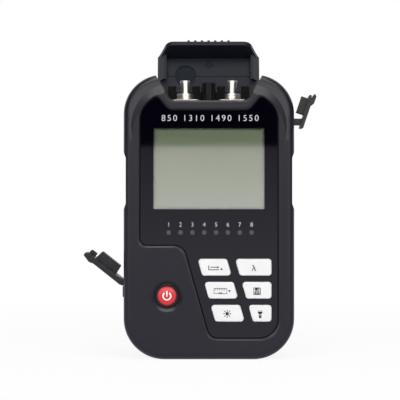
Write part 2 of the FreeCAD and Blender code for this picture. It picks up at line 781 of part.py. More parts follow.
def key(row, right):
    """One key: a cap with a softened edge, a flange that holds it in and a stem towards its switch."""
    flange_y = (INNER_FRONT + FLANGE_GAP, INNER_FRONT + FLANGE_GAP + FLANGE_THICK)
    cap = prism(key_corners(row, right, 0), (KEY_FRONT, flange_y[0]))
    cap = cap.makeFillet(KEY_EDGE_R, edges_at_y(cap, KEY_FRONT))
    flange = prism(key_corners(row, right, FLANGE_EXTRA), flange_y)
    x, z = key_middle(row, right)
    stem = rod((x, flange_y[1], z), AXIS_Y, SWITCH_PLUNGER_R, STEM_END - flange_y[1])
    return fuse(cap, flange, stem)


def power_button():
    """A round button with a domed face, a flange and a stem."""
    flange_y = INNER_FRONT + FLANGE_GAP
    rim = FRONT - POWER_PROUD
    top = rim - POWER_DOME
    sphere_r = (POWER_R ** 2 + POWER_DOME ** 2) / (2 * POWER_DOME)
    cap = rod((POWER_X, top, POWER_Z), AXIS_Y, POWER_R, flange_y - top)
    cap = cap.common(Part.makeSphere(sphere_r, V(POWER_X, top + sphere_r, POWER_Z)))
    flange = rod((POWER_X, flange_y, POWER_Z), AXIS_Y, RING_BORE_R + FLANGE_EXTRA, FLANGE_THICK)
    stem_y = flange_y + FLANGE_THICK
    stem = rod((POWER_X, stem_y, POWER_Z), AXIS_Y, SWITCH_PLUNGER_R, STEM_END - stem_y)
    return fuse(cap, flange, stem)


def power_ring():
    """The ring that lines the power button's opening."""
    front = FRONT + RING_SINK
    ring = pipe((POWER_X, front, POWER_Z), AXIS_Y, RING_R, RING_BORE_R, RING_THICK)
    outer = [e for e in edges_at_y(ring, front) if e.Curve.Radius > (RING_R + RING_BORE_R) / 2]
    return ring.makeFillet(SEAM_DEPTH, outer)


# ---------------------------------------------------------------- inside

def main_board():
    """The circuit board, with an ear in the right shoulder that carries the charging socket."""
    board = prism(case_outline(WALL + BOARD_GAP), (BOARD_FRONT, BOARD_BACK))
    roof = DECK_BASE - LEDGE_THICK - BOARD_GAP
    ear_x = bay_half(TOP_Z) - BOARD_GAP
    ear_z = CHARGE_Z + CHARGE_WIDTH / 2 + BOARD_GAP / 2
    holes = [rod((x, BOARD_FRONT, z), AXIS_Y, SCREW_R + SCREW_FIT, BOARD_THICK) for x, z in SCREW_PLACES]
    return board.cut([
        box((-FAR, ear_x), (FRONT, BACK), (roof, FAR)), box((-FAR, FAR), (FRONT, BACK), (ear_z, FAR)),
    ] + holes)


def tact_switches():
    """One switch behind each key and behind the power button."""
    places = [key_middle(row, right) for row, right in every_key()] + [(POWER_X, POWER_Z)]
    half = SWITCH_SIZE / 2
    body_front = BOARD_FRONT - SWITCH_BODY
    return Part.makeCompound([
        fuse(
            box((x - half, x + half), (body_front, BOARD_FRONT), (z - half, z + half)),
            rod((x, SWITCH_TOP, z), AXIS_Y, SWITCH_PLUNGER_R, SWITCH_PLUNGER),
        ) for x, z in places])


def controller_chip():
    """The controller on the back of the board."""
    half = CHIP_SIZE / 2
    return box((CHIP_X - half, CHIP_X + half), (BOARD_BACK, BOARD_BACK + CHIP_THICK),
               (CHIP_Z - half, CHIP_Z + half))


def buzzer():
    """The sounder on the back of the board."""
    return rod((BUZZER_X, BOARD_BACK, BUZZER_Z), AXIS_Y, BUZZER_R, BUZZER_HEIGHT)


def battery_pack():
    """The flat rechargeable pack, stuck to the rear shell."""
    half = BATTERY_WIDTH / 2
    high = BATTERY_LOW_Z + BATTERY_HEIGHT
    round_r = BATTERY_THICK / 4
    pack = box((-half, half), (INNER_BACK - BATTERY_THICK, INNER_BACK), (BATTERY_LOW_Z, high))
    upright = [e for e in pack.Edges if e.BoundBox.ZLength > BATTERY_HEIGHT / 2]
    return pack.makeFillet(round_r, upright)


# ---------------------------------------------------------------- port bay

def post(x):
    """One hinge post on the deck, round at the top about the pin."""
    half = POST_WIDTH / 2
    front = HINGE_Y - POST_R - HINGE_WALL_GAP - HINGE_WALL
    return fuse(
        rod((x - half, HINGE_Y, HINGE_Z), AXIS_X, POST_R, POST_WIDTH),
        box((x - half, x + half), (front, HINGE_Y + POST_BACK), (DECK_TOP - DECK_THICK / 2, HINGE_Z)),
        box((x - half, x + half), (front, HINGE_Y), (HINGE_Z, POST_TOP_Z)),
    )


def port_deck():
    """Floor of the port bay, with holes for the ports and the torch and four hinge posts."""
    seat = BAY_FLOOR_HALF - DECK_GAP
    floor = box((-seat, seat), (DECK_FRONT + DECK_GAP, DECK_BACK - DECK_GAP), (DECK_BASE, DECK_TOP))
    wall_back = HINGE_Y - POST_R - HINGE_WALL_GAP
    wall_end = POST_OUT_X + POST_WIDTH / 2
    wall_z = (DECK_TOP - DECK_THICK / 2, HINGE_WALL_Z)
    wall = box((-wall_end, wall_end), (wall_back - HINGE_WALL, wall_back), wall_z)
    deck = fuse(floor, wall, *[post(x) for x in (-POST_OUT_X, -POST_IN_X, POST_IN_X, POST_OUT_X)])
    room = bay_notch(-DECK_GAP, DECK_TOP - FIT, (FRONT, BACK)).fuse(floor)
    cuts = [rod((x, PORT_Y, DECK_BASE), AXIS_Z, BUSH_R + FIT, DECK_THICK) for x in (-PORT_X, PORT_X)]
    cuts.append(rod((0, PORT_Y, DECK_BASE), AXIS_Z, TORCH_R + FIT, DECK_THICK))
    cuts.append(rod((-FAR / 2, HINGE_Y, HINGE_Z), AXIS_X, PIN_R + PIN_SEAT_FIT, FAR))
    return deck.common(room).cut(cuts)


def hinge_pin():
    """The steel pin through the posts and the cover's lugs."""
    half = POST_OUT_X + POST_WIDTH / 2
    return rod((-half, HINGE_Y, HINGE_Z), AXIS_X, PIN_R, 2 * half)


def cover_span(grow, y):
    """Front view of the cover: as wide as the bay at the top and tapered to its lip."""
    plate_z = COVER_TOP_Z - COVER_PLATE
    half = bay_half(COVER_TOP_Z) - COVER_GAP + grow
    plate_half = bay_half(plate_z) - COVER_GAP + grow
    lip_half = COVER_LIP_HALF + grow
    return prism([
        (-lip_half, COVER_LIP_Z, COVER_LIP_R), (-plate_half, plate_z, COVER_CORNER_R),
        (-half, COVER_TOP_Z, 0), (half, COVER_TOP_Z, 0),
        (plate_half, plate_z, COVER_CORNER_R), (lip_half, COVER_LIP_Z, COVER_LIP_R),
    ], y)


def cover_side_view():
    """Front wall and plate of the cover, seen from the side, as (y, z) points."""
    lean = math.tan(math.radians(COVER_LEAN))
    wall = COVER_WALL / math.cos(math.radians(COVER_LEAN))
    drop = COVER_TOP_Z - COVER_LIP_Z
    inner_z = COVER_TOP_Z - COVER_PLATE
    lip_y = COVER_FRONT_Y - drop * lean
    return [
        (COVER_BACK_Y, COVER_TOP_Z), (COVER_FRONT_Y, COVER_TOP_Z),
        (lip_y, COVER_LIP_Z), (lip_y + wall, COVER_LIP_Z),
        (COVER_FRONT_Y + wall - COVER_PLATE * lean, inner_z), (COVER_BACK_Y, inner_z),
    ]


def cover_ribs():
    """Finger ribs on the outside of the front wall, beside its free edge."""
    lean = math.tan(math.radians(COVER_LEAN))
    lip_y = COVER_FRONT_Y - (COVER_TOP_Z - COVER_LIP_Z) * lean
    high_y = lip_y + RIB_LENGTH * lean
    root = RIB_HEIGHT
    points = [
        (lip_y - RIB_HEIGHT, COVER_LIP_Z), (lip_y + root, COVER_LIP_Z),
        (high_y + root, COVER_LIP_Z + RIB_LENGTH), (high_y, COVER_LIP_Z + RIB_LENGTH),
        (high_y - RIB_HEIGHT, COVER_LIP_Z + RIB_LENGTH - RIB_HEIGHT),
    ]
    first = -(RIB_COUNT - 1) / 2 * RIB_PITCH
    middles = [first + i * RIB_PITCH for i in range(RIB_COUNT)]
    return [side_prism(points, (x - RIB_WIDTH / 2, x + RIB_WIDTH / 2)) for x in middles]


def cover_lugs():
    """Three lugs that carry the cover on the pin, between the posts."""
    inner = POST_IN_X - POST_WIDTH / 2 - POST_GAP
    gap_from = POST_IN_X + POST_WIDTH / 2 + POST_GAP
    gap_to = POST_OUT_X - POST_WIDTH / 2 - POST_GAP
    lugs = []
    for x in ((-gap_to, -gap_from), (-inner, inner), (gap_from, gap_to)):
        lugs.append(rod((x[0], HINGE_Y, HINGE_Z), AXIS_X, POST_R, x[1] - x[0]))
        lugs.append(box(x, (HINGE_Y - POST_R, HINGE_Y + POST_R), (HINGE_Z, COVER_TOP_Z - COVER_PLATE)))
    return lugs


def port_cover():
    """The hinged cover of the port bay, drawn closed and turned open."""
    inner_z = COVER_TOP_Z - COVER_PLATE
    in_bay = bay_notch(-COVER_GAP, BAY_Z, (FRONT, BACK + WALL))
    sides = in_bay.common(box((-FAR, FAR), (COVER_FRONT_Y - 1, COVER_SIDE_BACK_Y), (COVER_SIDE_Z, inner_z)))
    sides = sides.cut(bay_notch(-COVER_GAP - COVER_SIDE, BAY_Z, (FRONT, BACK + WALL)))
    end = bay_half(inner_z) - COVER_GAP - COVER_SIDE
    back = box((-end, end), (COVER_BACK_Y - COVER_BACK_WALL, COVER_BACK_Y), (COVER_BACK_Z, inner_z))
    shell = side_prism(cover_side_view(), (-FAR, FAR)).common(cover_span(0, (FRONT - WALL, BACK + WALL)))
    guides = [box((x - GUIDE_WIDTH / 2, x + GUIDE_WIDTH / 2), (COVER_FRONT_Y, GUIDE_END_Y),
                  (inner_z - GUIDE_HEIGHT, inner_z)) for x in (-GUIDE_X, GUIDE_X)]
    cover = fuse(shell, sides, back, *guides, *cover_ribs(), *cover_lugs())
    step_end = GUIDE_X - GUIDE_WIDTH / 2
    cuts = [box((x - GUIDE_NOTCH / 2, x + GUIDE_NOTCH / 2), (GUIDE_END_Y, GUIDE_END_Y + GUIDE_NOTCH),
                (inner_z - 1, inner_z + COVER_PLATE / 2)) for x in (-GUIDE_X, GUIDE_X)]
    cover = cover.cut(cuts + [
        box((-step_end, step_end), (PORT_Y + COVER_STEP, HINGE_Y - POST_R), (inner_z, inner_z + COVER_STEP)),
        rod((-FAR / 2, HINGE_Y, HINGE_Z), AXIS_X, PIN_R + PIN_FIT, FAR),
        rod((-PORT_X, PORT_Y, inner_z - 1), AXIS_Z, COVER_DIMPLE_R, 1 + COVER_DIMPLE + COVER_STEP),
        rod((0, EJECTOR_Y, inner_z - 1), AXIS_Z, EJECTOR_R, 1 + EJECTOR_DEPTH),
    ])
    cover.rotate(V(0, HINGE_Y, HINGE_Z), AXIS_X, -COVER_OPEN)
    return cover


def port_flange(x):
    """Square flange on the deck with a threaded bush down through it."""
    half = PORT_FLANGE / 2
    plate = box((x - half, x + half), (PORT_Y - half, PORT_Y + half), (DECK_TOP, PORT_FLANGE_TOP))
    upright = [e for e in plate.Edges if e.BoundBox.ZLength > PORT_FLANGE_THICK / 2]
    plate = plate.makeFillet(PORT_FLANGE_R, upright)
    bush = rod((x, PORT_Y, BUSH_BASE), AXIS_Z, BUSH_R, PORT_FLANGE_TOP - BUSH_BASE)
    return fuse(plate, bush).cut(rod((x, PORT_Y, BUSH_BASE), AXIS_Z, BARREL_R + FIT, FAR))


def ring_nut(x):
    """The nut on the flange, turned in rings with a groove between them."""
    bore = BARREL_R + FIT
    groove_top = NUT_HEIGHT - NUT_RING
    groove_foot = groove_top - NUT_GROOVE
    ring_foot = groove_foot - NUT_RING + NUT_BEVEL
    return turned([
        (bore, 0), (NUT_FOOT_R, 0), (NUT_FOOT_R, ring_foot - NUT_BEVEL), (NUT_R - NUT_BEVEL, ring_foot - NUT_BEVEL),
        (NUT_R, ring_foot), (NUT_R, groove_foot - NUT_BEVEL), (NUT_R - NUT_BEVEL, groove_foot),
        (NUT_R - NUT_GROOVE, groove_foot), (NUT_R - NUT_GROOVE, groove_top), (NUT_R - NUT_BEVEL, groove_top),
        (NUT_R, groove_top + NUT_BEVEL), (NUT_R, NUT_HEIGHT - NUT_BEVEL), (NUT_R - NUT_BEVEL, NUT_HEIGHT),
        (bore, NUT_HEIGHT),
    ], (x, PORT_Y, PORT_FLANGE_TOP), AXIS_Z)


def port_barrel(x):
    """The tube of a port, with a flared lip round its mouth."""
    bore = SLEEVE_R + FIT
    high = PORT_TOP_Z - BUSH_BASE
    bevel = (BARREL_LIP_R - BARREL_R)
    return turned([
        (bore, 0), (BARREL_R, 0), (BARREL_R, high - BARREL_LIP - bevel), (BARREL_LIP_R, high - BARREL_LIP),
        (BARREL_LIP_R, high - bevel / 2), (BARREL_LIP_R - bevel / 2, high), (bore + bevel / 2, high),
        (bore, high - bevel / 2),
    ], (x, PORT_Y, BUSH_BASE), AXIS_Z)


def ferrule_sleeve(x):
    """The ceramic sleeve that lines up the fibre's ferrule."""
    top = PORT_TOP_Z - SLEEVE_SINK
    return pipe((x, PORT_Y, top - SLEEVE_LENGTH), AXIS_Z, SLEEVE_R, FERRULE_R, SLEEVE_LENGTH)


def leads(x, low, count):
    """Wire legs below a component, on a small circle."""
    legs = []
    for i in range(count):
        turn = 2 * math.pi * i / count
        leg_x = x + LEAD_CIRCLE_R * math.cos(turn)
        leg_y = PORT_Y + LEAD_CIRCLE_R * math.sin(turn)
        legs.append(rod((leg_x, leg_y, low - LEAD_LENGTH), AXIS_Z, LEAD_R, LEAD_LENGTH + LEAD_R))
    return legs


def laser_module():
    """The laser source under the left port."""
    low = BUSH_BASE - LASER_LENGTH
    return fuse(rod((-PORT_X, PORT_Y, low), AXIS_Z, LASER_R, LASER_LENGTH), *leads(-PORT_X, low, 3))


def photodiode():
    """The detector can under the right port."""
    low = BUSH_BASE - DIODE_LENGTH
    return fuse(
        rod((PORT_X, PORT_Y, low), AXIS_Z, DIODE_R, DIODE_LENGTH),
        rod((PORT_X, PORT_Y, low), AXIS_Z, DIODE_RIM_R, DIODE_LENGTH / 4),
        *leads(PORT_X, low, 3),
    )


def torch_tube():
    """The black tube round the torch lamp, with a foot under the deck."""
    bore = TORCH_R - TORCH_WALL
    high = TORCH_TOP_Z - DECK_BASE
    tube = turned([
        (bore, -TORCH_FOOT), (TORCH_FOOT_R, -TORCH_FOOT), (TORCH_FOOT_R, 0), (TORCH_R, 0),
        (TORCH_R, high - TORCH_WALL / 2), (TORCH_R - TORCH_WALL / 2, high), (bore, high),
    ], (0, PORT_Y, DECK_BASE), AXIS_Z)
    return tube


def torch_led():
    """The torch lamp, a clear bullet with two leads."""
    radius = TORCH_R - TORCH_WALL - FIT
    low = DECK_BASE - TORCH_FOOT
    shoulder = TORCH_LED_TOP_Z - radius
    return fuse(
        rod((0, PORT_Y, low), AXIS_Z, radius, shoulder - low),
        Part.makeSphere(radius, V(0, PORT_Y, shoulder)),
        *leads(0, low, 2),
    )


# ---------------------------------------------------------------- sockets and flaps

def network_socket():
    """The eight-way network socket, open to the left, with room for a plug's latch."""
    half = NET_WIDTH / 2
    body_y = (BOARD_BACK, BOARD_BACK + NET_HEIGHT)
    body = box((NET_X, NET_X + NET_LENGTH), body_y, (NET_Z - half, NET_Z + half))
    mouth_y = (NET_Y - NET_MOUTH_HEIGHT / 2, NET_Y + NET_MOUTH_HEIGHT / 2)
    mouth_x = (NET_X, NET_X + NET_MOUTH_DEPTH)
    return body.cut([
        box(mouth_x, mouth_y, (NET_Z - NET_MOUTH / 2, NET_Z + NET_MOUTH / 2)),
        box(mouth_x, (mouth_y[1], mouth_y[1] + NET_LATCH),
            (NET_Z - NET_LATCH_WIDTH / 2, NET_Z + NET_LATCH_WIDTH / 2)),
    ])


def network_contacts():
    """Eight spring wires, each sloping up from the socket's floor towards its back."""
    floor = NET_Y - NET_MOUTH_HEIGHT / 2
    back_x = NET_X + NET_MOUTH_DEPTH
    wires = []
    for i in range(CONTACT_COUNT):
        z = NET_Z + (i - (CONTACT_COUNT - 1) / 2) * CONTACT_PITCH
        low = [V(back_x - CONTACT_LENGTH, floor, z), V(back_x, floor + CONTACT_RISE, z)]
        high = [corner + V(0, CONTACT_THICK, 0) for corner in reversed(low)]
        wire = Part.Face(Part.makePolygon(low + high + low[:1])).extrude(V(0, 0, CONTACT_THICK))
        wire.translate(V(0, 0, -CONTACT_THICK / 2))
        wires.append(wire)
    return Part.makeCompound(wires)


def network_flap():
    """Rubber flap of the network socket: strip, plug, latch and finger lip, turned open."""
    hinge = V(-HALF - NET_FLAP_HINGE_OUT, 0, NET_FLAP_HINGE_Z)
    inner = NET_SEAT - NET_FLAP_LIFT - HALF
    outer = inner - NET_FLAP_THICK
    low = NET_FLAP_HINGE_Z
    high = low + NET_FLAP_LENGTH
    bulge_z = high - NET_LIP_LENGTH * 2 / 3
    y = (NET_Y - NET_FLAP_HALF, NET_Y + NET_FLAP_HALF)
    strip = prism([
        (inner, low, 0.4), (outer, low, 0.8), (outer, high - NET_LIP_LENGTH, 0),
        (outer - NET_LIP, bulge_z, 0.8), (outer + NET_LIP / 2, high, 0.4), (inner, high, 0.4),
        (inner - NET_NICK, high - NET_NICK, 0), (inner, low + NET_LATCH_FROM + NET_LATCH_LENGTH, 0),
    ], y)
    plug_half = NET_PLUG / 2
    tip_half = plug_half - NET_PLUG_TAPER
    tip_x = inner + NET_PLUG_DEPTH
    plug_y = (NET_Y - NET_MOUTH_HEIGHT / 2 + NET_PLUG_GAP, NET_Y + NET_MOUTH_HEIGHT / 2 - NET_PLUG_GAP)
    plug = prism([
        (inner, NET_Z - plug_half, 0), (inner, NET_Z + plug_half, 0),
        (tip_x, NET_Z + tip_half, 0.6), (tip_x, NET_Z - tip_half, 0.6),
    ], plug_y)
    latch_z = low + NET_LATCH_FROM
    latch = prism([
        (inner, latch_z, 0), (hinge.x + NET_LATCH_DEPTH, latch_z, 0.4),
        (hinge.x + NET_LATCH_DEPTH, latch_z + NET_LATCH_LENGTH, 0.8), (inner, latch_z + NET_LATCH_LENGTH, 0),
    ], (NET_Y - NET_LATCH_HALF, NET_Y + NET_LATCH_HALF))
    knuckle = rod((hinge.x, y[0], low), AXIS_Y, NET_KNUCKLE_R, 2 * NET_FLAP_HALF)
    flap = fuse(strip, plug, latch, knuckle)
    flap.rotate(hinge, AXIS_Y, -NET_FLAP_OPEN)
    return flap


def network_flap_strap():
    """The fixed end of the network flap, flat on the case wall below the hinge."""
    high = NET_FLAP_HINGE_Z - NET_KNUCKLE_R - NET_SEAT_GAP
    return prism([
        (-HALF, high - STRAP_LENGTH, 0), (-HALF, high, 0), (-HALF - STRAP_THICK, high, 0.2),
        (-HALF - STRAP_THICK, high - STRAP_LENGTH, 0.4),
    ], (NET_Y - STRAP_HALF, NET_Y + STRAP_HALF))


def charge_socket():
    """Metal shell of the charging socket, closed at the back and open to the right."""
    def tube(inset, x):
        half = CHARGE_WIDTH / 2 - inset
        rise = CHARGE_HEIGHT / 2 - inset
        solid = box(x, (CHARGE_Y - rise, CHARGE_Y + rise), (CHARGE_Z - half, CHARGE_Z + half))
        along = [e for e in solid.Edges if e.BoundBox.XLength > (x[1] - x[0]) / 2]
        return solid.makeFillet(rise * 0.8, along)
    back = CHARGE_X - CHARGE_LENGTH
    return tube(0, (back, CHARGE_X)).cut(tube(CHARGE_WALL, (back + 2 * CHARGE_WALL, CHARGE_X + 1)))


def charge_tongue():
    """The tongue with the contacts, on the charging socket's back wall."""
    back = CHARGE_X - CHARGE_LENGTH + 2 * CHARGE_WALL
    return box((back, back + TONGUE_LENGTH), (CHARGE_Y - TONGUE_THICK / 2, CHARGE_Y + TONGUE_THICK / 2),
               (CHARGE_Z - TONGUE_WIDTH / 2, CHARGE_Z + TONGUE_WIDTH / 2))


def charge_flap():
    """Rubber flap of the charging socket, turned open, with its tether level in the case's slot."""
    inner = HALF + CHARGE_FLAP_LIFT
    outer = inner + CHARGE_FLAP_THICK
    top_inner = inner - CHARGE_FLAP_LEAN
    high = CHARGE_FLAP_TOP_Z
    y = (CHARGE_Y - CHARGE_FLAP_HALF, CHARGE_Y + CHARGE_FLAP_HALF)
    strip = prism([
        (inner, CHARGE_FLAP_LOW_Z, 0.3), (top_inner, high, 0.3), (outer - CHARGE_BALL_R, high, 0),
        (outer, high + CHARGE_LIP_RISE, 0.3), (outer + CHARGE_LIP, high + CHARGE_LIP, 0.5),
        (outer + CHARGE_LIP, high - CHARGE_LIP_RISE, 0.8), (outer, high - CHARGE_LIP_LENGTH, 0.5),
        (outer, CHARGE_FLAP_LOW_Z, 0.6),
    ], y)
    half = CHARGE_PLUG / 2
    rise = CHARGE_PLUG_HEIGHT / 2
    plug = box((inner - CHARGE_PLUG_DEPTH, inner), (CHARGE_Y - rise, CHARGE_Y + rise),
               (CHARGE_Z - half, CHARGE_Z + half))
    plug = plug.makeFillet(rise / 2, [e for e in plug.Edges if e.BoundBox.XLength > CHARGE_PLUG_DEPTH / 2])
    ball = rod((inner, y[0], high + CHARGE_BALL_R / 2), AXIS_Y, CHARGE_BALL_R, 2 * CHARGE_FLAP_HALF)
    flap = fuse(strip, plug, ball)
    flap.rotate(V(HALF + CHARGE_POLE_OUT, 0, CHARGE_POLE_Z), AXIS_Y, CHARGE_FLAP_OPEN)
    lean = math.tan(math.radians(CHARGE_FLAP_OPEN))
    reach = HALF + CHARGE_POLE_OUT + (TETHER_Z - CHARGE_POLE_Z) * lean
    tether = box((HALF - TETHER_IN, reach), (CHARGE_Y - TETHER_HALF, CHARGE_Y + TETHER_HALF),
                 (TETHER_Z - TETHER_HEIGHT / 2, TETHER_Z + TETHER_HEIGHT / 2))
    return fuse(flap, tether)


# ---------------------------------------------------------------- files

def build():
    """Every sub-part by its node's name."""
    shell = housing()
    pieces = {
        "front_case": front_case(shell), "rear_case": rear_case(shell), "case_screws": case_screws(),
        "front_panel": front_panel(), "display_window": display_window(), "lcd_module": lcd_module(),
        "backlight": backlight(), "dot_lenses": dot_lenses(), "indicator_leds": indicator_leds(),
        "power_button": power_button(), "power_ring": power_ring(),
        "main_board": main_board(), "tact_switches": tact_switches(), "controller_chip": controller_chip(),
        "buzzer": buzzer(), "battery_pack": battery_pack(),
        "port_deck": port_deck(), "hinge_pin": hinge_pin(), "port_cover": port_cover(),
        "laser_module": laser_module(), "photodiode": photodiode(),
        "torch_tube": torch_tube(), "torch_led": torch_led(),
        "network_socket": network_socket(), "network_contacts": network_contacts(),
        "network_flap": network_flap(), "network_flap_strap": network_flap_strap(),
        "charge_socket": charge_socket(), "charge_tongue": charge_tongue(), "charge_flap": charge_flap(),
    }
    for row, right in every_key():
        pieces[KEY_NAMES[row][right]] = key(row, right)
    for name, x in (("source", -PORT_X), ("meter", PORT_X)):
        pieces[name + "_flange"] = port_flange(x)
        pieces[name + "_ring_nut"] = ring_nut(x)
        pieces[name + "_barrel"] = port_barrel(x)
        pieces[name + "_sleeve"] = ferrule_sleeve(x)
    return pieces


os.makedirs("parts", exist_ok=True)
for node, shape in build().items():
    shape.exportStep(os.path.join("parts", node + ".step"))
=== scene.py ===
# %% [markdown]
# # A handheld optical power meter
#
# This lesson dresses a imported CAD model of a meter in finishes, prints its signs and lights it like a
# catalogue picture. The solids come from the CAD program, and their shapes and places stay as they are.
# What is made here is what a moulder, a printer and a plater would add: grain, gloss, ink and metal.
#
# The first cell loads the solids. Each one arrives as an object that bears its node's name. Its place is
# moved into its points and it hangs on nothing, and every other object that the file brings is removed.

# %% Load the solids
import math

import bmesh
import bpy
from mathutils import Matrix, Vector


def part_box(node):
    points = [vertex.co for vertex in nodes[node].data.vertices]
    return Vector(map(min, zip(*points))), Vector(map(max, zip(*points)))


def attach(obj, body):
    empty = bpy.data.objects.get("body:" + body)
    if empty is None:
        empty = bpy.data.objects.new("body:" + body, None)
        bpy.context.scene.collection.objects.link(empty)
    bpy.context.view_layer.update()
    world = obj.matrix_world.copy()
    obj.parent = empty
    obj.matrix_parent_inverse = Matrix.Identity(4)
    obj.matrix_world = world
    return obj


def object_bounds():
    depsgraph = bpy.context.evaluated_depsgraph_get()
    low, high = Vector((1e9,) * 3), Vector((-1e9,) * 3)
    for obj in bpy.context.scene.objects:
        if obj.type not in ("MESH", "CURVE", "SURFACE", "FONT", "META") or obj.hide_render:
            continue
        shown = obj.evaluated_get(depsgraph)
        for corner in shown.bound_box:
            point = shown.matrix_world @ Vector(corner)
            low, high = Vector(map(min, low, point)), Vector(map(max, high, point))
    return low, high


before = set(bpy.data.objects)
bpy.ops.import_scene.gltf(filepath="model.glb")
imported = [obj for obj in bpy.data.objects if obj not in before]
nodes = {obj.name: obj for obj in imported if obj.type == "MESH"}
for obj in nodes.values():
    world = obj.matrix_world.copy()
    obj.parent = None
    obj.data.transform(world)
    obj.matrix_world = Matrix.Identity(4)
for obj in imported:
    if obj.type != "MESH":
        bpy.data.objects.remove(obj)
cad_box = [list(corner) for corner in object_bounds()]
scene = bpy.context.scene
MM = 0.001

# %% [markdown]
# ## The camera
#
# A catalogue picture of something flat is taken from far away with a long lens, so that the sides stay
# nearly parallel and the face keeps its true proportions. A wide lens close by would swell the middle.
# The camera here is level, a little to the left of the meter's middle and at about half its height.

# %% Camera
def aim(thing, place, target):
    """Put something in its place and turn its -Z side towards a point."""
    thing.location = place
    thing.rotation_euler = (Vector(target) - Vector(place)).to_track_quat("-Z", "Y").to_euler()


CAMERA_X = -3.95 * MM
CAMERA_Z = 70.4 * MM
CAMERA_Y = -0.676
camera = bpy.data.objects.new("catalogue_camera", bpy.data.cameras.new("catalogue_camera"))
scene.collection.objects.link(camera)
camera.data.sensor_width = 36
camera.data.lens = 135
camera.data.clip_start = 0.01
aim(camera, (CAMERA_X, CAMERA_Y, CAMERA_Z), (CAMERA_X, 0, CAMERA_Z))
scene.camera = camera
scene.view_settings.view_transform = "Standard"
print("camera at", [round(v, 4) for v in camera.location])

# %% [markdown]
# ## Writing shader maths as plain Python
#
# A node tree for a finish is easier to read when its sums look like sums. The small class below wraps
# one output socket, and its operators add the Math nodes. Python calls the reflected forms, such as
# __rsub__, when the plain number stands first, so that 1 - mask works too.

# %% Sums on sockets
class Value:
    """One output socket of a node tree. Sums on it add Math nodes."""

    def __init__(self, owner, socket):
        self.owner = owner
        self.socket = socket

    def maths(self, operation, *terms):
        return self.owner.add("ShaderNodeMath", {"operation": operation}, dict(enumerate(terms)))

    def __add__(self, other):
        return self.maths("ADD", self, other)

    __radd__ = __add__

    def __sub__(self, other):
        return self.maths("SUBTRACT", self, other)

    def __rsub__(self, other):
        return self.maths("SUBTRACT", other, self)

    def __mul__(self, other):
        return self.maths("MULTIPLY", self, other)

    __rmul__ = __mul__

    def __truediv__(self, other):
        return self.maths("DIVIDE", self, other)

    def __rtruediv__(self, other):
        return self.maths("DIVIDE", other, self)

    def root(self):
        return self.maths("SQRT", self)

    def size(self):
        return self.maths("ABSOLUTE", self)

    def rounded(self):
        return self.maths("ROUND", self)

    def least(self, other):
        return self.maths("MINIMUM", self, other)

    def most(self, other):
        return self.maths("MAXIMUM", self, other)

    def between(self, low, high):
        """0 at low, 1 at high, and a smooth step from one to the other."""
        sockets = {"Value": self, "From Min": low, "From Max": high}
        return self.owner.add("ShaderNodeMapRange", {"interpolation_type": "SMOOTHSTEP"}, sockets)


# %% [markdown]
# ### Trees and finishes
#
# Every other node comes from one method. It takes the node's type, its settings, and the values or links
# of its sockets, so a node is one line. A tree is a material's or the world's. A finish is a material
# whose tree starts with one Principled surface, and it knows a few recipes that most plastics and metals
# need: the place on the part, soft noise of a size in millimetres, a mix of two colours and a relief.

# %% Trees
class Tree:
    """A node tree, with one method that adds nodes of any type."""

    def __init__(self, tree):
        self.tree = tree

    def feed(self, socket, value):
        """Link a value to a socket, or set the socket's own number or colour."""
        if isinstance(value, Value):
            self.tree.links.new(value.socket, socket)
        else:
            socket.default_value = value

    def add(self, kind, settings=None, sockets=None, output=0):
        """A new node of a type: its settings first, then the values or links of its sockets."""
        node = self.tree.nodes.new(kind)
        for key, value in (settings or {}).items():
            setattr(node, key, value)
        for key, value in (sockets or {}).items():
            self.feed(node.inputs[key], value)
        return Value(self, node.outputs[output])

    def ray(self, kind):
        """1 for a light ray of one kind, and 0 for any other."""
        return self.add("ShaderNodeLightPath", output="Is %s Ray" % kind)


# %% Finishes
class Finish(Tree):
    """A material with one Principled surface."""

    def __init__(self, name, **surface):
        self.material = bpy.data.materials.new(name)
        self.material.use_nodes = True
        super().__init__(self.material.node_tree)
        self.surface = self.tree.nodes["Principled BSDF"]
        self.set(**surface)

    def set(self, **surface):
        """Feed sockets of the surface, with _ for a space in their names."""
        for key, value in surface.items():
            self.feed(self.surface.inputs[key.replace("_", " ")], value)

    def end_with(self, shader):
        """Let the material show another shader than its Principled surface."""
        self.feed(self.tree.nodes["Material Output"].inputs["Surface"], shader)

    def place(self):
        """The point on the surface, in metres, as three values."""
        point = self.add("ShaderNodeTexCoord", output="Object")
        split = self.add("ShaderNodeSeparateXYZ", {}, {0: point})
        return [Value(self, socket) for socket in split.socket.node.outputs]

    def noise(self, size, detail=2.0, stretch=(1, 1, 1)):
        """Soft noise from 0 to 1, with blotches of a size in millimetres."""
        point = self.add("ShaderNodeTexCoord", output="Object")
        spread = self.add("ShaderNodeMapping", {}, {"Vector": point, "Scale": stretch})
        sockets = {"Vector": spread, "Scale": 1 / (size * MM), "Detail": detail}
        return self.add("ShaderNodeTexNoise", {}, sockets)

    def mix(self, share, first, second):
        """A colour between two others. A Mix node has its colours on inputs 6 and 7 and on output 2."""
        sockets = {0: share, 6: opaque(first), 7: opaque(second)}
        return self.add("ShaderNodeMix", {"data_type": "RGBA"}, sockets, 2)

    def bump(self, height, depth, strength=1.0):
        """Relief of a depth in millimetres."""
        sockets = {"Height": height, "Distance": depth * MM, "Strength": strength}
        return self.add("ShaderNodeBump", {}, sockets)


def opaque(colour):
    """A plain colour with its alpha, or a linked one as it is."""
    return colour if isinstance(colour, Value) else (*colour, 1)


def tone(colour, factor):
    """A colour made lighter or darker."""
    return tuple(min(1.0, channel * factor) for channel in colour)


def wear(finish, *names):
    """Give a finish to CAD solids."""
    for name in names:
        nodes[name].data.materials.clear()
        nodes[name].data.materials.append(finish.material)
    print(finish.material.name, "on", ", ".join(names))


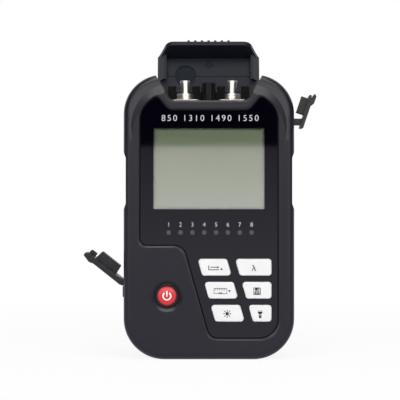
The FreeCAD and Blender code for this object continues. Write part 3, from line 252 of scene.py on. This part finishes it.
# %% [markdown]
# ## The moulded case
#
# The case is black plastic from a spark-eroded mould. The spark leaves a fine even grain, which scatters
# the light, so that broad soft highlights run along the rounded edges instead of sharp ones. The grain is
# far too fine for geometry, and so it is bump: noise with blotches of a quarter of a millimetre.
# Slow noise makes the gloss and the colour wander a little, as they do on any large moulding. The same
# recipe, with another colour, gloss or grain, serves every small black moulding too.

# %% Moulded plastic
WANDER = 0.1


def moulded(name, colour, rough, grain=0.28, depth=0.02, shine=0.5):
    finish = Finish(name, IOR=1.42, Specular_IOR_Level=shine)
    slow = finish.noise(22)
    fine = finish.noise(grain, detail=3)
    finish.set(
        Base_Color=finish.mix(slow, tone(colour, 1 - WANDER), tone(colour, 1 + WANDER)),
        Roughness=slow * 0.08 + fine * 0.06 + (rough - 0.07),
        Normal=finish.bump(fine, depth),
    )
    return finish


CASE_GREY = (0.0095, 0.0095, 0.0148)
case_plastic = moulded("case_plastic", CASE_GREY, 0.3)
wear(case_plastic, "front_case", "rear_case")
deck_plastic = moulded("deck_plastic", (0.004, 0.004, 0.005), 0.5, shine=0.12)
wear(deck_plastic, "port_deck")
socket_black = moulded("socket_black", (0.006, 0.006, 0.0065), 0.4)
wear(socket_black, "network_socket")
switch_black = moulded("switch_black", (0.012, 0.012, 0.012), 0.45)
wear(switch_black, "tact_switches", "controller_chip", "buzzer")
ring_black = moulded("ring_black", (0.004, 0.004, 0.0045), 0.18, depth=0.004)
wear(ring_black, "power_ring")
torch_black = moulded("torch_black", (0.0025, 0.0025, 0.0035), 0.32, depth=0.004, shine=0.25)
wear(torch_black, "torch_tube")

# %% [markdown]
# ## The port cover
#
# The cover's inner face is a little bluer than the case and has a rough grain with paler flecks. Two
# round spots on it are smooth, where an ejector and a polished insert touched the plastic. The plate
# leans back by 15 degrees, so a circle on it is squeezed upwards when it is drawn from the front, and
# the height is stretched again before the distance from each middle is taken. Width and height alone
# place a spot, so it also tints the outer face behind it. The mask on the depth only turns the deepest
# edge of the cover a little towards the grey of the case.

# %% Cover plastic
COVER_GREY = (0.0088, 0.0106, 0.0178)
SPOT_GREY = (0.0135, 0.0165, 0.026)
SPOTS = ((-10.6, 128.1, 4.95), (0, 133.5, 2.2))
SPOT_EDGE = 0.08
COVER_LEAN = math.radians(15)
BLUISH_TO_Y, GREY_FROM_Y = 24 * MM, 26 * MM
cover_plastic = moulded("cover_plastic", COVER_GREY, 0.4, grain=0.22, shine=0.25)
x, y, z = cover_plastic.place()
inside = []
for middle_x, middle_z, radius in SPOTS:
    across = x - middle_x * MM
    up = (z - middle_z * MM) / math.cos(COVER_LEAN)
    apart = (across * across + up * up).root()
    inside.append(apart.between((radius + SPOT_EDGE) * MM, (radius - SPOT_EDGE) * MM))
in_front = y.between(GREY_FROM_Y, BLUISH_TO_Y)
fleck = cover_plastic.noise(0.5, detail=4).between(0.55, 0.8)
plate = cover_plastic.mix(fleck, COVER_GREY, tone(COVER_GREY, 2.2))
polished = (inside[0] + inside[1]) * in_front
inner = cover_plastic.mix(polished, plate, SPOT_GREY)
cover_plastic.set(
    Base_Color=cover_plastic.mix(in_front, CASE_GREY, inner),
    Roughness=fleck * 0.1 + 0.4 - polished * 0.24,
    Normal=cover_plastic.bump(fleck, 0.02, 1 - polished),
)
wear(cover_plastic, "port_cover")

# %% [markdown]
# ## The glossy front panel
#
# The panel is a clear sheet printed black on its back. Its face is nearly a mirror, so it shows the room:
# a dark ceiling in its upper part and a pale table in its lower one. No colour is painted for that. The
# surface is smooth, and the cards that it mirrors are made with the lights below. A sheet is never quite
# flat, so a very slow relief bends the mirrored edges by a hair.

# %% Front panel
panel_gloss = Finish("panel_gloss", Base_Color=(0.001, 0.0009, 0.0031, 1), IOR=1.5)
slow = panel_gloss.noise(30, detail=0)
dust = panel_gloss.noise(0.6, detail=4)
panel_gloss.set(
    Roughness=dust.between(0.5, 0.9) * 0.06 + 0.03,
    Normal=panel_gloss.bump(slow, 0.01),
)
wear(panel_gloss, "front_panel")

# %% [markdown]
# ## The display
#
# An unlit liquid-crystal display is a sandwich of glass, crystal and a pearly reflector. It looks grey
# green, with a soft mirror image over it. A high index of refraction gives the pearly mirror, and a
# yellowish specular tint keeps that mirror in tune with the crystal. The display sits behind its frame,
# and the frame's shade within two millimetres of it is painted: a smooth step on the distance from the
# edge darkens the colour there into a dark rim of painted shade.

# %% Display face
low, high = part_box("display_window")
middle = (low + high) / 2
half_width = (high.x - low.x) / 2
half_height = (high.z - low.z) / 2
PEARL_IOR = 5.0
PEARL_TINT = (1, 1, 0.82, 1)
SHADE_FROM, SHADE_TO = -0.6 * MM, 1.6 * MM
display_face = Finish("display_face", IOR=PEARL_IOR, Roughness=0.04, Specular_Tint=PEARL_TINT)
x, y, z = display_face.place()
from_side = half_width - (x - middle.x).size()
from_end = half_height - (z - middle.z).size()
edge = from_side.least(from_end)
cloud = display_face.noise(16)
glass = display_face.mix(cloud, (0.305, 0.385, 0.245), (0.335, 0.41, 0.272))
# Painted shade: the colour darkens near the edge, where the frame shades the display.
glass_with_painted_shade = display_face.mix(edge.between(SHADE_FROM, SHADE_TO), (0.05, 0.055, 0.04), glass)
display_face.set(Base_Color=glass_with_painted_shade)
wear(display_face, "lcd_module")
print("display:", round(half_width * 2000, 1), "by", round(half_height * 2000, 1), "mm")

# %% [markdown]
# ## Clear parts
#
# The window over the display and the lens of the torch are clear plastic. Transmission on the surface
# does that without any other shader. The torch lens is a little milky, and its gloss wanders.

# %% Window and torch lens
window_clear = Finish("window_clear", Base_Color=(1, 1, 1, 1), Roughness=0.02, IOR=1.5)
window_clear.set(Transmission_Weight=1.0)
wear(window_clear, "display_window")
torch_clear = Finish("torch_clear", Base_Color=(0.95, 0.96, 1, 1), IOR=1.45, Transmission_Weight=0.6)
torch_clear.set(Roughness=torch_clear.noise(1.5) * 0.1 + 0.03)
wear(torch_clear, "torch_led")

# %% [markdown]
# ## Indicator dots
#
# Eight small smoky lenses let an indicator shine through when it is lit. Unlit, each is a grey dot with
# a darker rim. One sum finds the distance from the middle of the nearest dot, since they stand at an
# even pitch, so a single finish serves all of them.

# %% Dot lenses
low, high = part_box("dot_lenses")
DOTS = 8
dot_r = (high.z - low.z) / 2
pitch = (high.x - low.x - 2 * dot_r) / (DOTS - 1)
dot_lens = Finish("dot_lens", Roughness=0.3, IOR=1.5)
x, y, z = dot_lens.place()
steps = (x - (low.x + dot_r)) / pitch
across = (steps - steps.rounded()) * pitch
along = z - (low.z + dot_r)
radius = (across * across + along * along).root()
speckle = dot_lens.noise(0.3, detail=4)
core = dot_lens.mix(speckle, (0.044, 0.044, 0.05), (0.078, 0.078, 0.086))
dot_lens.set(Base_Color=dot_lens.mix(radius.between(0.6 * dot_r, dot_r), core, (0.028, 0.028, 0.031)))
wear(dot_lens, "dot_lenses")

# %% [markdown]
# ## Keys
#
# The six keys are white satin plastic. White is kept well below full, or its shading would vanish under
# the lamps. The grain is faint, because keys are polished by fingers.

# %% White keys
KEYS = ("reference", "wavelength", "network", "save", "backlight", "torch")
key_white = Finish("key_white", IOR=1.5)
slow = key_white.noise(9)
fine = key_white.noise(0.25, detail=3)
key_white.set(
    Base_Color=key_white.mix(slow, (0.765, 0.765, 0.77), (0.805, 0.805, 0.81)),
    Roughness=slow * 0.06 + 0.36,
    Normal=key_white.bump(fine, 0.006),
)
wear(key_white, *["key_" + name for name in KEYS])

# %% [markdown]
# ## The power button
#
# The button is a glossy red dome, darker towards its rim. The distance from its middle is worked out
# on the part itself, so the dark rim moves in with the button.

# %% Red button
low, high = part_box("power_button")
button = (low + high) / 2
BUTTON_R = 4.2 * MM
button_red = Finish("button_red", IOR=1.5)
x, y, z = button_red.place()
radius = ((x - button.x) * (x - button.x) + (z - button.z) * (z - button.z)).root()
cloud = button_red.noise(2.5)
red = button_red.mix(cloud, (0.61, 0.02, 0.026), (0.67, 0.028, 0.034))
button_red.set(
    Base_Color=button_red.mix(radius.between(0.8 * BUTTON_R, 1.02 * BUTTON_R), red, (0.26, 0.006, 0.01)),
    Roughness=cloud * 0.06 + 0.22,
)
wear(button_red, "power_button")

# %% [markdown]
# ## Metal
#
# The two ports are turned brass with a bright nickel plate. Turning leaves very fine rings round the
# axis, and these draw each highlight into a line along the tube. So the noise is stretched: long round
# the tube and short along it. The same recipe, with other colours, serves the steel pin, the screws,
# the cans of the modules and the gold contacts.

# %% Turned metal
RING = 0.12
ROUND_THE_TUBE = 50
RING_DEPTH = 0.002


def turned_metal(name, colour, rough):
    finish = Finish(name, Metallic=1.0)
    rings = finish.noise(1, stretch=(1 / ROUND_THE_TUBE, 1 / ROUND_THE_TUBE, 1 / RING))
    stain = finish.noise(1.6)
    finish.set(
        Base_Color=finish.mix(stain, tone(colour, 0.9), tone(colour, 1.08)),
        Roughness=rings * 0.08 + stain * 0.08 + (rough - 0.08),
        Normal=finish.bump(rings, RING_DEPTH),
    )
    return finish


wear(turned_metal("port_nickel", (0.96, 0.92, 0.86), 0.3),
     "source_barrel", "meter_barrel", "source_ring_nut", "meter_ring_nut")
wear(turned_metal("flange_brass", (0.76, 0.71, 0.62), 0.34), "source_flange", "meter_flange")
wear(turned_metal("pin_steel", (0.05, 0.05, 0.052), 0.35), "hinge_pin")
wear(turned_metal("screw_steel", (0.28, 0.28, 0.29), 0.3), "case_screws")
wear(turned_metal("module_metal", (0.62, 0.56, 0.42), 0.3), "laser_module", "photodiode")
wear(turned_metal("socket_metal", (0.66, 0.66, 0.65), 0.28), "charge_socket")
wear(turned_metal("contact_gold", (0.83, 0.62, 0.28), 0.22), "network_contacts", "charge_tongue")

# %% [markdown]
# ## Sleeves
#
# Each port ends in a white sleeve of zirconia that lines up the fibre. It is a dense ceramic, so it is
# glossier than plastic of the same white, which a higher index of refraction gives.

# %% Zirconia sleeves
sleeve_ceramic = Finish("sleeve_ceramic", Roughness=0.25, IOR=2.1)
haze = sleeve_ceramic.noise(0.8)
sleeve_ceramic.set(Base_Color=sleeve_ceramic.mix(haze, (0.8, 0.79, 0.75), (0.88, 0.87, 0.84)))
wear(sleeve_ceramic, "source_sleeve", "meter_sleeve")

# %% [markdown]
# ## Rubber flaps
#
# The flaps over the sockets are soft black rubber. Rubber is duller than the case, shows small
# scuffs where fingers pull it, and picks up pale dust. The scuffs are a second noise with a high
# threshold, which lifts both the colour and the roughness.

# %% Rubber
flap_rubber = Finish("flap_rubber", IOR=1.5)
grain = flap_rubber.noise(0.35, detail=4)
scuff = flap_rubber.noise(1.8, detail=4).between(0.58, 0.78)
flap_rubber.set(
    Base_Color=flap_rubber.mix(scuff, (0.0055, 0.0055, 0.0065), (0.022, 0.022, 0.024)),
    Roughness=scuff * 0.2 + grain * 0.1 + 0.3,
    Normal=flap_rubber.bump(grain, 0.03),
)
wear(flap_rubber, "network_flap", "charge_flap", "network_flap_strap")

# %% [markdown]
# ## Inside the case
#
# The circuit board, the battery and the light box hardly show, but a cut-away view or a later use of
# the parts finds them, so they get finishes too.

# %% Board, battery and light box
board_green = Finish("board_green", IOR=1.5, Roughness=0.3)
weave = board_green.noise(1, stretch=(1.5, 1.5, 0.2))
board_green.set(Base_Color=board_green.mix(weave, (0.012, 0.10, 0.035), (0.02, 0.15, 0.05)))
wear(board_green, "main_board")
battery_wrap = Finish("battery_wrap", IOR=1.5)
crease = battery_wrap.noise(6, detail=3)
battery_wrap.set(
    Base_Color=battery_wrap.mix(crease, (0.08, 0.17, 0.36), (0.11, 0.22, 0.44)),
    Roughness=crease * 0.2 + 0.25,
    Normal=battery_wrap.bump(crease, 0.15),
)
wear(battery_wrap, "battery_pack")
light_box = Finish("backlight_white", Roughness=0.5)
light_box.set(Base_Color=light_box.mix(light_box.noise(4), (0.72, 0.72, 0.7), (0.82, 0.82, 0.8)))
wear(light_box, "backlight")
led_chip = Finish("led_chip", Roughness=0.3)
led_chip.set(Base_Color=led_chip.mix(led_chip.noise(0.5), (0.7, 0.66, 0.42), (0.82, 0.8, 0.62)))
wear(led_chip, "indicator_leds")

# %% [markdown]
# ## Printed signs
#
# Ink from a printing pad stands a few hundredths of a millimetre above the plastic. It could be a
# picture on the surface, but a thin solid of its own keeps a crisp edge at any distance. Three inks are
# enough: soft white on the panel, black on the keys and bright white on the red button. Ink never covers
# evenly, so each has a fine noise in its colour.

# %% Inks
def ink(name, colour, blot):
    finish = Finish(name, IOR=1.45)
    spots = finish.noise(0.12, detail=3)
    finish.set(Base_Color=finish.mix(spots, tone(colour, 1 - blot), tone(colour, 1 + blot)),
               Roughness=spots * 0.1 + 0.4)
    return finish


ink_white = ink("ink_white", (0.52, 0.52, 0.54), 0.08)
ink_black = ink("ink_black", (0.012, 0.012, 0.013), 0.3)
ink_bright = ink("ink_bright", (0.87, 0.87, 0.87), 0.04)
print("inks:", ink_white.material.name, ink_black.material.name, ink_bright.material.name)

# %% [markdown]
# ### From outlines to ink
#
# A filled flat curve with a little depth is the natural way to print: several outlines in one curve cut
# holes in each other, which is what a ring or a framed square needs. The curve becomes a mesh at once, so
# that every later step sees plain faces. It is drawn lying down, in millimetres, and set upright here.

# %% Curves into printed pieces
INK = 0.03 * MM
print("ink is", INK / MM, "mm thick")


def printed(name, curve, place, body, finish):
    """Turn a flat curve, drawn in millimetres, into ink on a front face."""
    curve.fill_mode = "BOTH"
    curve.extrude = INK / MM / 2
    holder = bpy.data.objects.new(name + "_curve", curve)
    scene.collection.objects.link(holder)
    bpy.context.view_layer.update()
    mesh = bpy.data.meshes.new_from_object(holder)
    bpy.data.objects.remove(holder)
    for vertex in mesh.vertices:
        across, up, out = vertex.co
        vertex.co = (place[0] + across * MM, place[1] - out * MM, place[2] + up * MM)
    mesh.materials.clear()
    mesh.materials.append(finish.material)
    mesh.name = name
    piece = bpy.data.objects.new(name, mesh)
    scene.collection.objects.link(piece)
    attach(piece, body)
    print(name, "rides on", body)
    return piece


def drawing(name, outlines):
    """A flat curve from closed outlines, each a list of (across, up) points."""
    curve = bpy.data.curves.new(name, "CURVE")
    curve.dimensions = "2D"
    for outline in outlines:
        spline = curve.splines.new("POLY")
        spline.points.add(len(outline) - 1)
        for point, (across, up) in zip(spline.points, outline):
            point.co = (across, up, 0, 1)
        spline.use_cyclic_u = True
    return curve


def circle(across, up, radius, count=32):
    turns = [2 * math.pi * i / count for i in range(count)]
    return [(across + radius * math.cos(turn), up + radius * math.sin(turn)) for turn in turns]


def block(left, right, low, high):
    return [(left, low), (right, low), (right, high), (left, high)]


# %% [markdown]
# ### Numbers
#
# Plain figures number the eight indicator dots, and a row of figures with the usual measuring
# wavelengths stands over the display. Blender's own font is clean enough, and a small negative offset
# makes its strokes as thin as a pad prints them. A text's size isn't the height of its figures, so each
# text is measured once and scaled to the height wanted.

# %% Figures
def figures(name, text, height, place, body, finish, spread=1.0, bold=0.0):
    """Figures of a height in millimetres, with their middle at a place."""
    font = bpy.data.curves.new(name, "FONT")
    font.body = text
    font.space_character = spread
    font.offset = bold
    font.resolution_u = 6
    piece = printed(name, font, (0, place[1], 0), body, finish)
    spots = [vertex.co.copy() for vertex in piece.data.vertices]
    low_x, high_x = min(p.x for p in spots), max(p.x for p in spots)
    low_z, high_z = min(p.z for p in spots), max(p.z for p in spots)
    grow = height * MM / (high_z - low_z)
    for vertex in piece.data.vertices:
        vertex.co.x = place[0] + (vertex.co.x - (low_x + high_x) / 2) * grow
        vertex.co.z = place[2] + (vertex.co.z - (low_z + high_z) / 2) * grow
    print(name, "is", round((high_x - low_x) * grow / MM, 2), "mm wide")
    return piece


panel_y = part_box("front_panel")[0].y - INK / 2
DOT_NUMBER_Z = 59.6 * MM
DOT_NUMBER_HEIGHT = 1.85
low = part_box("dot_lenses")[0]
for count in range(DOTS):
    spot = (low.x + dot_r + count * pitch, panel_y, DOT_NUMBER_Z)
    number = str(count + 1)
    figures("dot_number_" + number, number, DOT_NUMBER_HEIGHT, spot, "case", ink_white, bold=-0.006)
HEADING_Z = 106.5 * MM
HEADING_X = 0.5 * MM
HEADING_HEIGHT = 2.66
WAVELENGTHS = "850 1310 1490 1550"
heading_spot = (HEADING_X, panel_y, HEADING_Z)
figures("wavelength_figures", WAVELENGTHS, HEADING_HEIGHT, heading_spot, "case", ink_white,
        spread=1.335, bold=-0.004)

# %% [markdown]
# ### Signs on the keys
#
# Each key bears a small sign, drawn from blocks, circles and a few slanted strokes. The first key sets
# the reference level and bears a zero line with an arrow up. The second one changes the wavelength and
# bears the Greek letter for it.

# %% Reference level and wavelength
key_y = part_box("key_reference")[0].y - INK / 2
ARROW_UP = [(-0.62, 0), (0.62, 0), (0, 0.95)]
ARROW_DOWN = [(-0.62, 0.95), (0, 0), (0.62, 0.95)]


def shifted(outline, across, up):
    return [(a + across, u + up) for a, u in outline]


def key_sign(name, outlines, across, up, body):
    """A black sign with its middle at a place on the keys' front, in millimetres."""
    printed(name, drawing(name, outlines), (across * MM, key_y, up * MM), body, ink_black)


reference_outlines = [
    block(-3.2, 1.5, -1.05, -0.7), block(-3.2, -2.85, -0.7, 1.05), block(-2.4, 0.8, 0.05, 0.4),
    [(0.8, -0.3), (1.6, 0.225), (0.8, 0.75)], shifted(ARROW_UP, 2.6, -0.95),
]
key_sign("reference_sign", reference_outlines, 2.9, 40.6, "reference_key")
letter = [
    (-0.95, 1.3), (-0.35, 1.35), (0.0, 1.1), (0.75, -0.95), (0.95, -1.05), (0.95, -1.3), (0.6, -1.35),
    (0.3, -1.1), (-0.08, 0.15), (-0.6, -1.3), (-1.0, -1.3), (-0.24, 0.6), (-0.4, 1.0), (-0.95, 1.05),
]
key_sign("wavelength_sign", [letter], 19.8, 40.5, "wavelength_key")

# %% [markdown]
# ### The cable test
#
# The third key starts the test of a network cable. Its sign is a framed socket with six contacts and a
# latch, and an arrow down. The inner block cuts the frame out of the outer one, and the contacts lie
# inside both, so they are filled again.

# %% Socket sign
CONTACTS = 6
CONTACT_PITCH = 0.79
CONTACT_WIDTH = 0.25
socket_outlines = [
    block(-3.6, 2.25, -1.25, 1.25), block(-3.38, 2.03, -1.03, 1.03), block(-1.5, 0.15, -1.03, -0.7),
    shifted(ARROW_DOWN, 3.3, -0.6),
]
for count in range(CONTACTS):
    left = -2.85 + count * CONTACT_PITCH
    socket_outlines.append(block(left, left + CONTACT_WIDTH, 0.3, 1.03))
key_sign("network_sign", socket_outlines, 5.7, 30.4, "network_key")

# %% [markdown]
# ### Saving, light and torch
#
# A diskette is still the sign for saving. A sun stands for the light behind the display: a disc and
# eight rays at even turns, so a loop draws them. The last key switches the torch and bears one.

# %% Diskette, sun and torch
diskette_outlines = [
    [(-1.6, -1.6), (1.6, -1.6), (1.6, 1.3), (1.3, 1.6), (-1.6, 1.6)],
    [(-1.3, -1.3), (1.3, -1.3), (1.3, 1.15), (1.15, 1.3), (-1.3, 1.3)],
    block(-0.95, 0.95, 0.25, 1.3), block(0.25, 0.6, 0.5, 1.1),
    block(-1.0, 1.0, -1.3, -0.05), block(-0.6, 0.6, -0.58, -0.38), block(-0.6, 0.6, -0.98, -0.78),
]
key_sign("save_sign", diskette_outlines, 21.15, 30.3, "save_key")
SUN_R, RAY_FROM, RAY_TO, RAY_HALF = 0.75, 1.0, 1.75, 0.17
RAYS = 8
sun_outlines = [circle(0, 0, SUN_R)]
for count in range(RAYS):
    turn = 2 * math.pi * count / RAYS
    way = Vector((math.cos(turn), math.sin(turn)))
    side = Vector((-way.y, way.x)) * RAY_HALF
    near, far = way * RAY_FROM, way * RAY_TO
    sun_outlines.append([tuple(near + side), tuple(near - side), tuple(far - side), tuple(far + side)])
key_sign("backlight_sign", sun_outlines, 8.0, 20.4, "backlight_key")
torch_outlines = [
    [(-1.05, 1.05), (1.05, 1.05), (1.05, 0.7), (0.55, -0.1), (-0.55, -0.1), (-1.05, 0.7)],
    [(-0.55, -0.3), (0.55, -0.3), (0.55, -1.8), (-0.55, -1.8)], circle(0, -0.75, 0.2, 12),
    [(-0.75, 1.3), (-0.55, 1.3), (-0.75, 1.75), (-0.95, 1.7)], block(-0.1, 0.1, 1.3, 1.8),
    [(0.55, 1.3), (0.75, 1.3), (0.95, 1.7), (0.75, 1.75)],
]
key_sign("torch_sign", torch_outlines, 22.5, 20.3, "torch_key")

# %% [markdown]
# ### The power sign
#
# A ring with a gap at the top and a bar through the gap is the usual sign for power. It lies on a domed
# button. An image on the dome would do, but the sign stays ink of its own here. It is cut from a flat
# curve, its edges are divided so that it can bend, and each point follows the dome. A ray sent from the
# front finds the dome behind that point, and the whole thickness of the ink stays just in front of it.

# %% Outline of the power sign
RING_OUT, RING_IN, GAP = 2.0, 1.38, math.radians(38)
RING_STEPS = 40
BAR_HALF, BAR_LOW, BAR_TOP, BAR_STEPS = 0.29, -0.25, 2.2, 10
sweep = 2 * math.pi - 2 * GAP
turns = [math.pi / 2 + GAP + sweep * step / RING_STEPS for step in range(RING_STEPS + 1)]
ring = [(RING_OUT * math.cos(turn), RING_OUT * math.sin(turn)) for turn in turns]
ring += [(RING_IN * math.cos(turn), RING_IN * math.sin(turn)) for turn in reversed(turns)]
rise = (BAR_TOP - BAR_LOW) / BAR_STEPS
bar = [(-BAR_HALF, BAR_LOW + rise * step) for step in range(BAR_STEPS + 1)]
bar += [(-across, up) for across, up in reversed(bar)]
button_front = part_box("power_button")[0].y
power_spot = (button.x, button_front, button.z)
power_sign = printed("power_sign", drawing("power_sign", [ring, bar]), power_spot, "power_key", ink_bright)


# %% Power sign on the dome
def divide(mesh, cuts):
    """Cut every edge, so that a flat print can bend."""
    fine = bmesh.new()
    fine.from_mesh(mesh)
    bmesh.ops.subdivide_edges(fine, edges=fine.edges[:], cuts=cuts, use_grid_fill=True)
    fine.to_mesh(mesh)
    fine.free()


SIGN_LIFT = 0.6 * INK
divide(power_sign.data, 3)
dome = nodes["power_button"]
to_dome = dome.matrix_world.inverted()
backwards = to_dome.to_3x3() @ Vector((0, 1, 0))
for vertex in power_sign.data.vertices:
    start = to_dome @ Vector((vertex.co.x, -1, vertex.co.z))
    struck = dome.ray_cast(start, backwards)[1]
    vertex.co.y += (dome.matrix_world @ struck).y - button_front - SIGN_LIFT
print("power sign:", len(power_sign.data.vertices), "points on the dome")

# %% [markdown]
# ### The painted shadow round the panel
#
# The sheet lies in a shallow step of the case, and the narrow gap along its edge is in shade. That shade
# is painted as a narrow black rim that mirrors nothing. Drawing it again by hand could miss the sheet's
# own outline, so the outline is read from the solid. Edges that only one front face uses are its border,
# and the border that reaches furthest up and down is the outer one. Each point then gets a partner, moved
# inwards.

# %% Borders of a front face
def border_neighbours(mesh):
    """For each point on a border of the faces that look to the front, the points beside it."""
    uses = {}
    for face in mesh.polygons:
        if face.normal.y < -0.99:
            for key in face.edge_keys:
                uses[key] = uses.get(key, 0) + 1
    beside = {}
    for (one, two), count in uses.items():
        if count == 1:
            beside.setdefault(one, []).append(two)
            beside.setdefault(two, []).append(one)
    return beside


def closed_walks(beside):
    """Walk from neighbour to neighbour until every border is closed."""
    left_over = set(beside)
    walks = []
    while left_over:
        walk = [min(left_over)]
        while walk[-1] in left_over:
            left_over.discard(walk[-1])
            walk += [n for n in beside[walk[-1]] if n in left_over][:1]
        walks.append(walk)
    return walks


def outer_border(solid):
    """The outer border of a solid's front face, anticlockwise as seen from the front."""
    walks = closed_walks(border_neighbours(solid.data))
    borders = [[solid.matrix_world @ solid.data.vertices[n].co for n in walk] for walk in walks]
    border = max(borders, key=lambda loop: max(p.z for p in loop) - min(p.z for p in loop))
    turning = sum(a.x * b.z - b.x * a.z for a, b in zip(border, border[1:] + border[:1]))
    return border if turning > 0 else border[::-1]


# %% [markdown]
# At a corner the partner has to move further, by one over the cosine of half the turn, or the rim would
# get thin there. The cosine is kept above a limit, so that a sharp corner doesn't throw its partner far
# inwards. The rim lies a hundredth of a millimetre in front of the sheet, so the two never flicker.

# %% Painted shadow rim
RIM = 0.55 * MM
RIM_LIFT = Vector((0, -0.01 * MM, 0))
LEAST_COSINE = 0.6
border = outer_border(nodes["front_panel"])
points = []
for before, here, after in zip(border[-1:] + border[:-1], border, border[1:] + border[:1]):
    arriving = (here - before).normalized()
    way = (arriving + (after - here).normalized()).normalized()
    inwards = Vector((-way.z, 0, way.x)) * RIM / max(LEAST_COSINE, abs(arriving.dot(way)))
    points += [here + RIM_LIFT, here + inwards + RIM_LIFT]
total = len(points)
faces = [(n, (n + 2) % total, (n + 3) % total, n + 1) for n in range(0, total, 2)]
rim_mesh = bpy.data.meshes.new("painted_shadow_rim")
rim_mesh.from_pydata([tuple(p) for p in points], [], faces)
# The rim's black is painted shade, standing for the shadow in the gap at the sheet's edge.
shadow_gap_black = moulded("shadow_gap_black", (0.0015, 0.0015, 0.002), 0.5, shine=0.1)
rim_mesh.materials.append(shadow_gap_black.material)
painted_shadow_rim = bpy.data.objects.new("painted_shadow_rim", rim_mesh)
scene.collection.objects.link(painted_shadow_rim)
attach(painted_shadow_rim, "case")
print("rim points:", len(border))

# %% [markdown]
# ## The white ground
#
# A catalogue picture has a white ground on which only a soft shadow is left. The world is white to the
# camera, while the light that it throws on the meter stays at a plain level, so that dark plastic looks
# dark. In mirrors it is darker still, as in a room around a small white table. That is what Light Path
# is for: it tells one kind of ray from another. A white wall would need much space and more lamps.

# %% World
def seen(tree):
    """1 for a ray from the camera, straight or through clear plastic, and 0 for light on the meter."""
    return tree.ray("Camera").most(tree.ray("Transmission"))


AMBIENT = 0.2
IN_MIRRORS = 0.06
world = bpy.data.worlds.new("white_room")
world.use_nodes = True
scene.world = world
room = Tree(world.node_tree)
level = room.ray("Glossy") * (IN_MIRRORS - AMBIENT) + AMBIENT
ground = world.node_tree.nodes["Background"]
room.feed(ground.inputs["Strength"], level.most(seen(room)))
room.feed(ground.inputs["Color"], (1, 1, 1, 1))
print("light of the room:", AMBIENT, "and in mirrors", IN_MIRRORS)

# %% [markdown]
# ### The floor
#
# The floor is paper that catches the light as paper does, and also glows white to the camera. Close to
# the meter a tenth of that glow is left out, and there the shadow shows. In mirrors the floor has one
# soft tint without any shadow, so that no edge of it crosses the glossy panel.

# %% Floor
def staged(name, corners, finish):
    """A sheet with four corners that belongs to the studio, not to the meter."""
    mesh = bpy.data.meshes.new(name)
    mesh.from_pydata(corners, [], [(0, 1, 2, 3)])
    mesh.materials.append(finish.material)
    sheet = bpy.data.objects.new(name, mesh)
    scene.collection.objects.link(sheet)
    return sheet


FLOOR = 4.0
FLOOR_IN_MIRRORS = (0.745, 0.707, 0.813)
SHADOW_FROM, SHADOW_TO = 0.1, 0.42
SHADOW_SHARE = 0.1
paper = Finish("paper_floor", Roughness=0.8, Base_Color=(0.9, 0.9, 0.9, 1))
mirrored = paper.ray("Glossy")
tint = paper.mix(mirrored, (1, 1, 1), FLOOR_IN_MIRRORS)
glow = paper.add("ShaderNodeEmission", {}, {"Color": tint})
x, y, z = paper.place()
away = (x * x + y * y).root().between(SHADOW_FROM, SHADOW_TO)
share = seen(paper) * (away * SHADOW_SHARE + (1 - SHADOW_SHARE)) + mirrored
lit = Value(paper, paper.surface.outputs[0])
paper.end_with(paper.add("ShaderNodeMixShader", {}, {0: share, 1: lit, 2: glow}))
floor_corners = [(-FLOOR, -FLOOR, 0), (FLOOR, -FLOOR, 0), (FLOOR, FLOOR, 0), (-FLOOR, FLOOR, 0)]
floor = staged("floor", floor_corners, paper)
floor.location.z = cad_box[0][2]
print("floor at", round(floor.location.z, 5))

# %% [markdown]
# ### Lamps
#
# Two tall lamps stand left and right in front of the meter and draw the long highlights down its edges.
# One lamp overhead lights the top, and a wide one above the camera lights the face and the slopes of the
# shoulders. A low narrow strip grazes the shoulders, which lean back by a few degrees only. Area lamps
# are used, because a highlight takes the shape of its lamp.

# %% Lamps
def lamp(name, place, size, power, target=(0, 0, 0.07)):
    data = bpy.data.lights.new(name, "AREA")
    data.shape = "RECTANGLE"
    data.size, data.size_y = size
    data.energy = power
    light = bpy.data.objects.new(name, data)
    scene.collection.objects.link(light)
    aim(light, place, target)
    print(name, "gives", power, "W")


lamp("left_lamp", (-0.75, -1.0, 0.35), (0.45, 0.9), 1.6)
lamp("right_lamp", (0.75, -1.0, 0.35), (0.45, 0.9), 1.6)
lamp("top_lamp", (0.0, -0.25, 1.1), (0.6, 0.35), 4)
lamp("front_lamp", (0.0, -1.0, 1.25), (1.6, 0.5), 12)
lamp("low_lamp", (0.0, -1.1, 0.42), (1.0, 0.2), 2.6)

# %% [markdown]
# ### Cards
#
# What a flat mirror shows is a small patch of the room behind the camera. There hang a black card and a
# pale one below it, and their common edge is the line across the panel and the display. Wider cards stand
# behind them and behind the meter, so that nickel has something bright to show. Cards show only in
# mirrors and through clear plastic. They cast no shadow, and no light but what is mirrored.

# %% Cards
def card(name, low_z, high_z, half, y, at_top, at_foot, colour=(1, 1, 1, 1)):
    """An upright card with its own level of light at the top and at the foot."""
    finish = Finish(name)
    height = finish.place()[2]
    level = finish.add("ShaderNodeMapRange", {}, {
        "Value": height, "From Min": low_z, "From Max": high_z, "To Min": at_foot, "To Max": at_top,
    })
    finish.end_with(finish.add("ShaderNodeEmission", {}, {"Strength": level, "Color": colour}))
    corners = [(-half, y, low_z), (half, y, low_z), (half, y, high_z), (-half, y, high_z)]
    piece = staged(name, corners, finish)
    for way in ("camera", "diffuse", "shadow", "volume_scatter"):
        setattr(piece, "visible_" + way, False)
    print(name, "from", low_z, "to", high_z, "m")


CARD_Y = -1.5
CARD_EDGE_Z = 0.147
CARD_HALF = 0.14
PALE_TINT = (0.98, 0.93, 1.07, 1)
card("black_card", CARD_EDGE_Z, 0.5, CARD_HALF, CARD_Y, 0.0, 0.0)
card("pale_card", 0.0, CARD_EDGE_Z, CARD_HALF, CARD_Y, 0.42, 0.76, PALE_TINT)
card("wide_card", -0.3, 1.0, 1.2, CARD_Y - 0.2, 0.65, 0.65)
card("back_card", 0.0, 3.0, 2.5, 1.0, 1.0, 1.0)
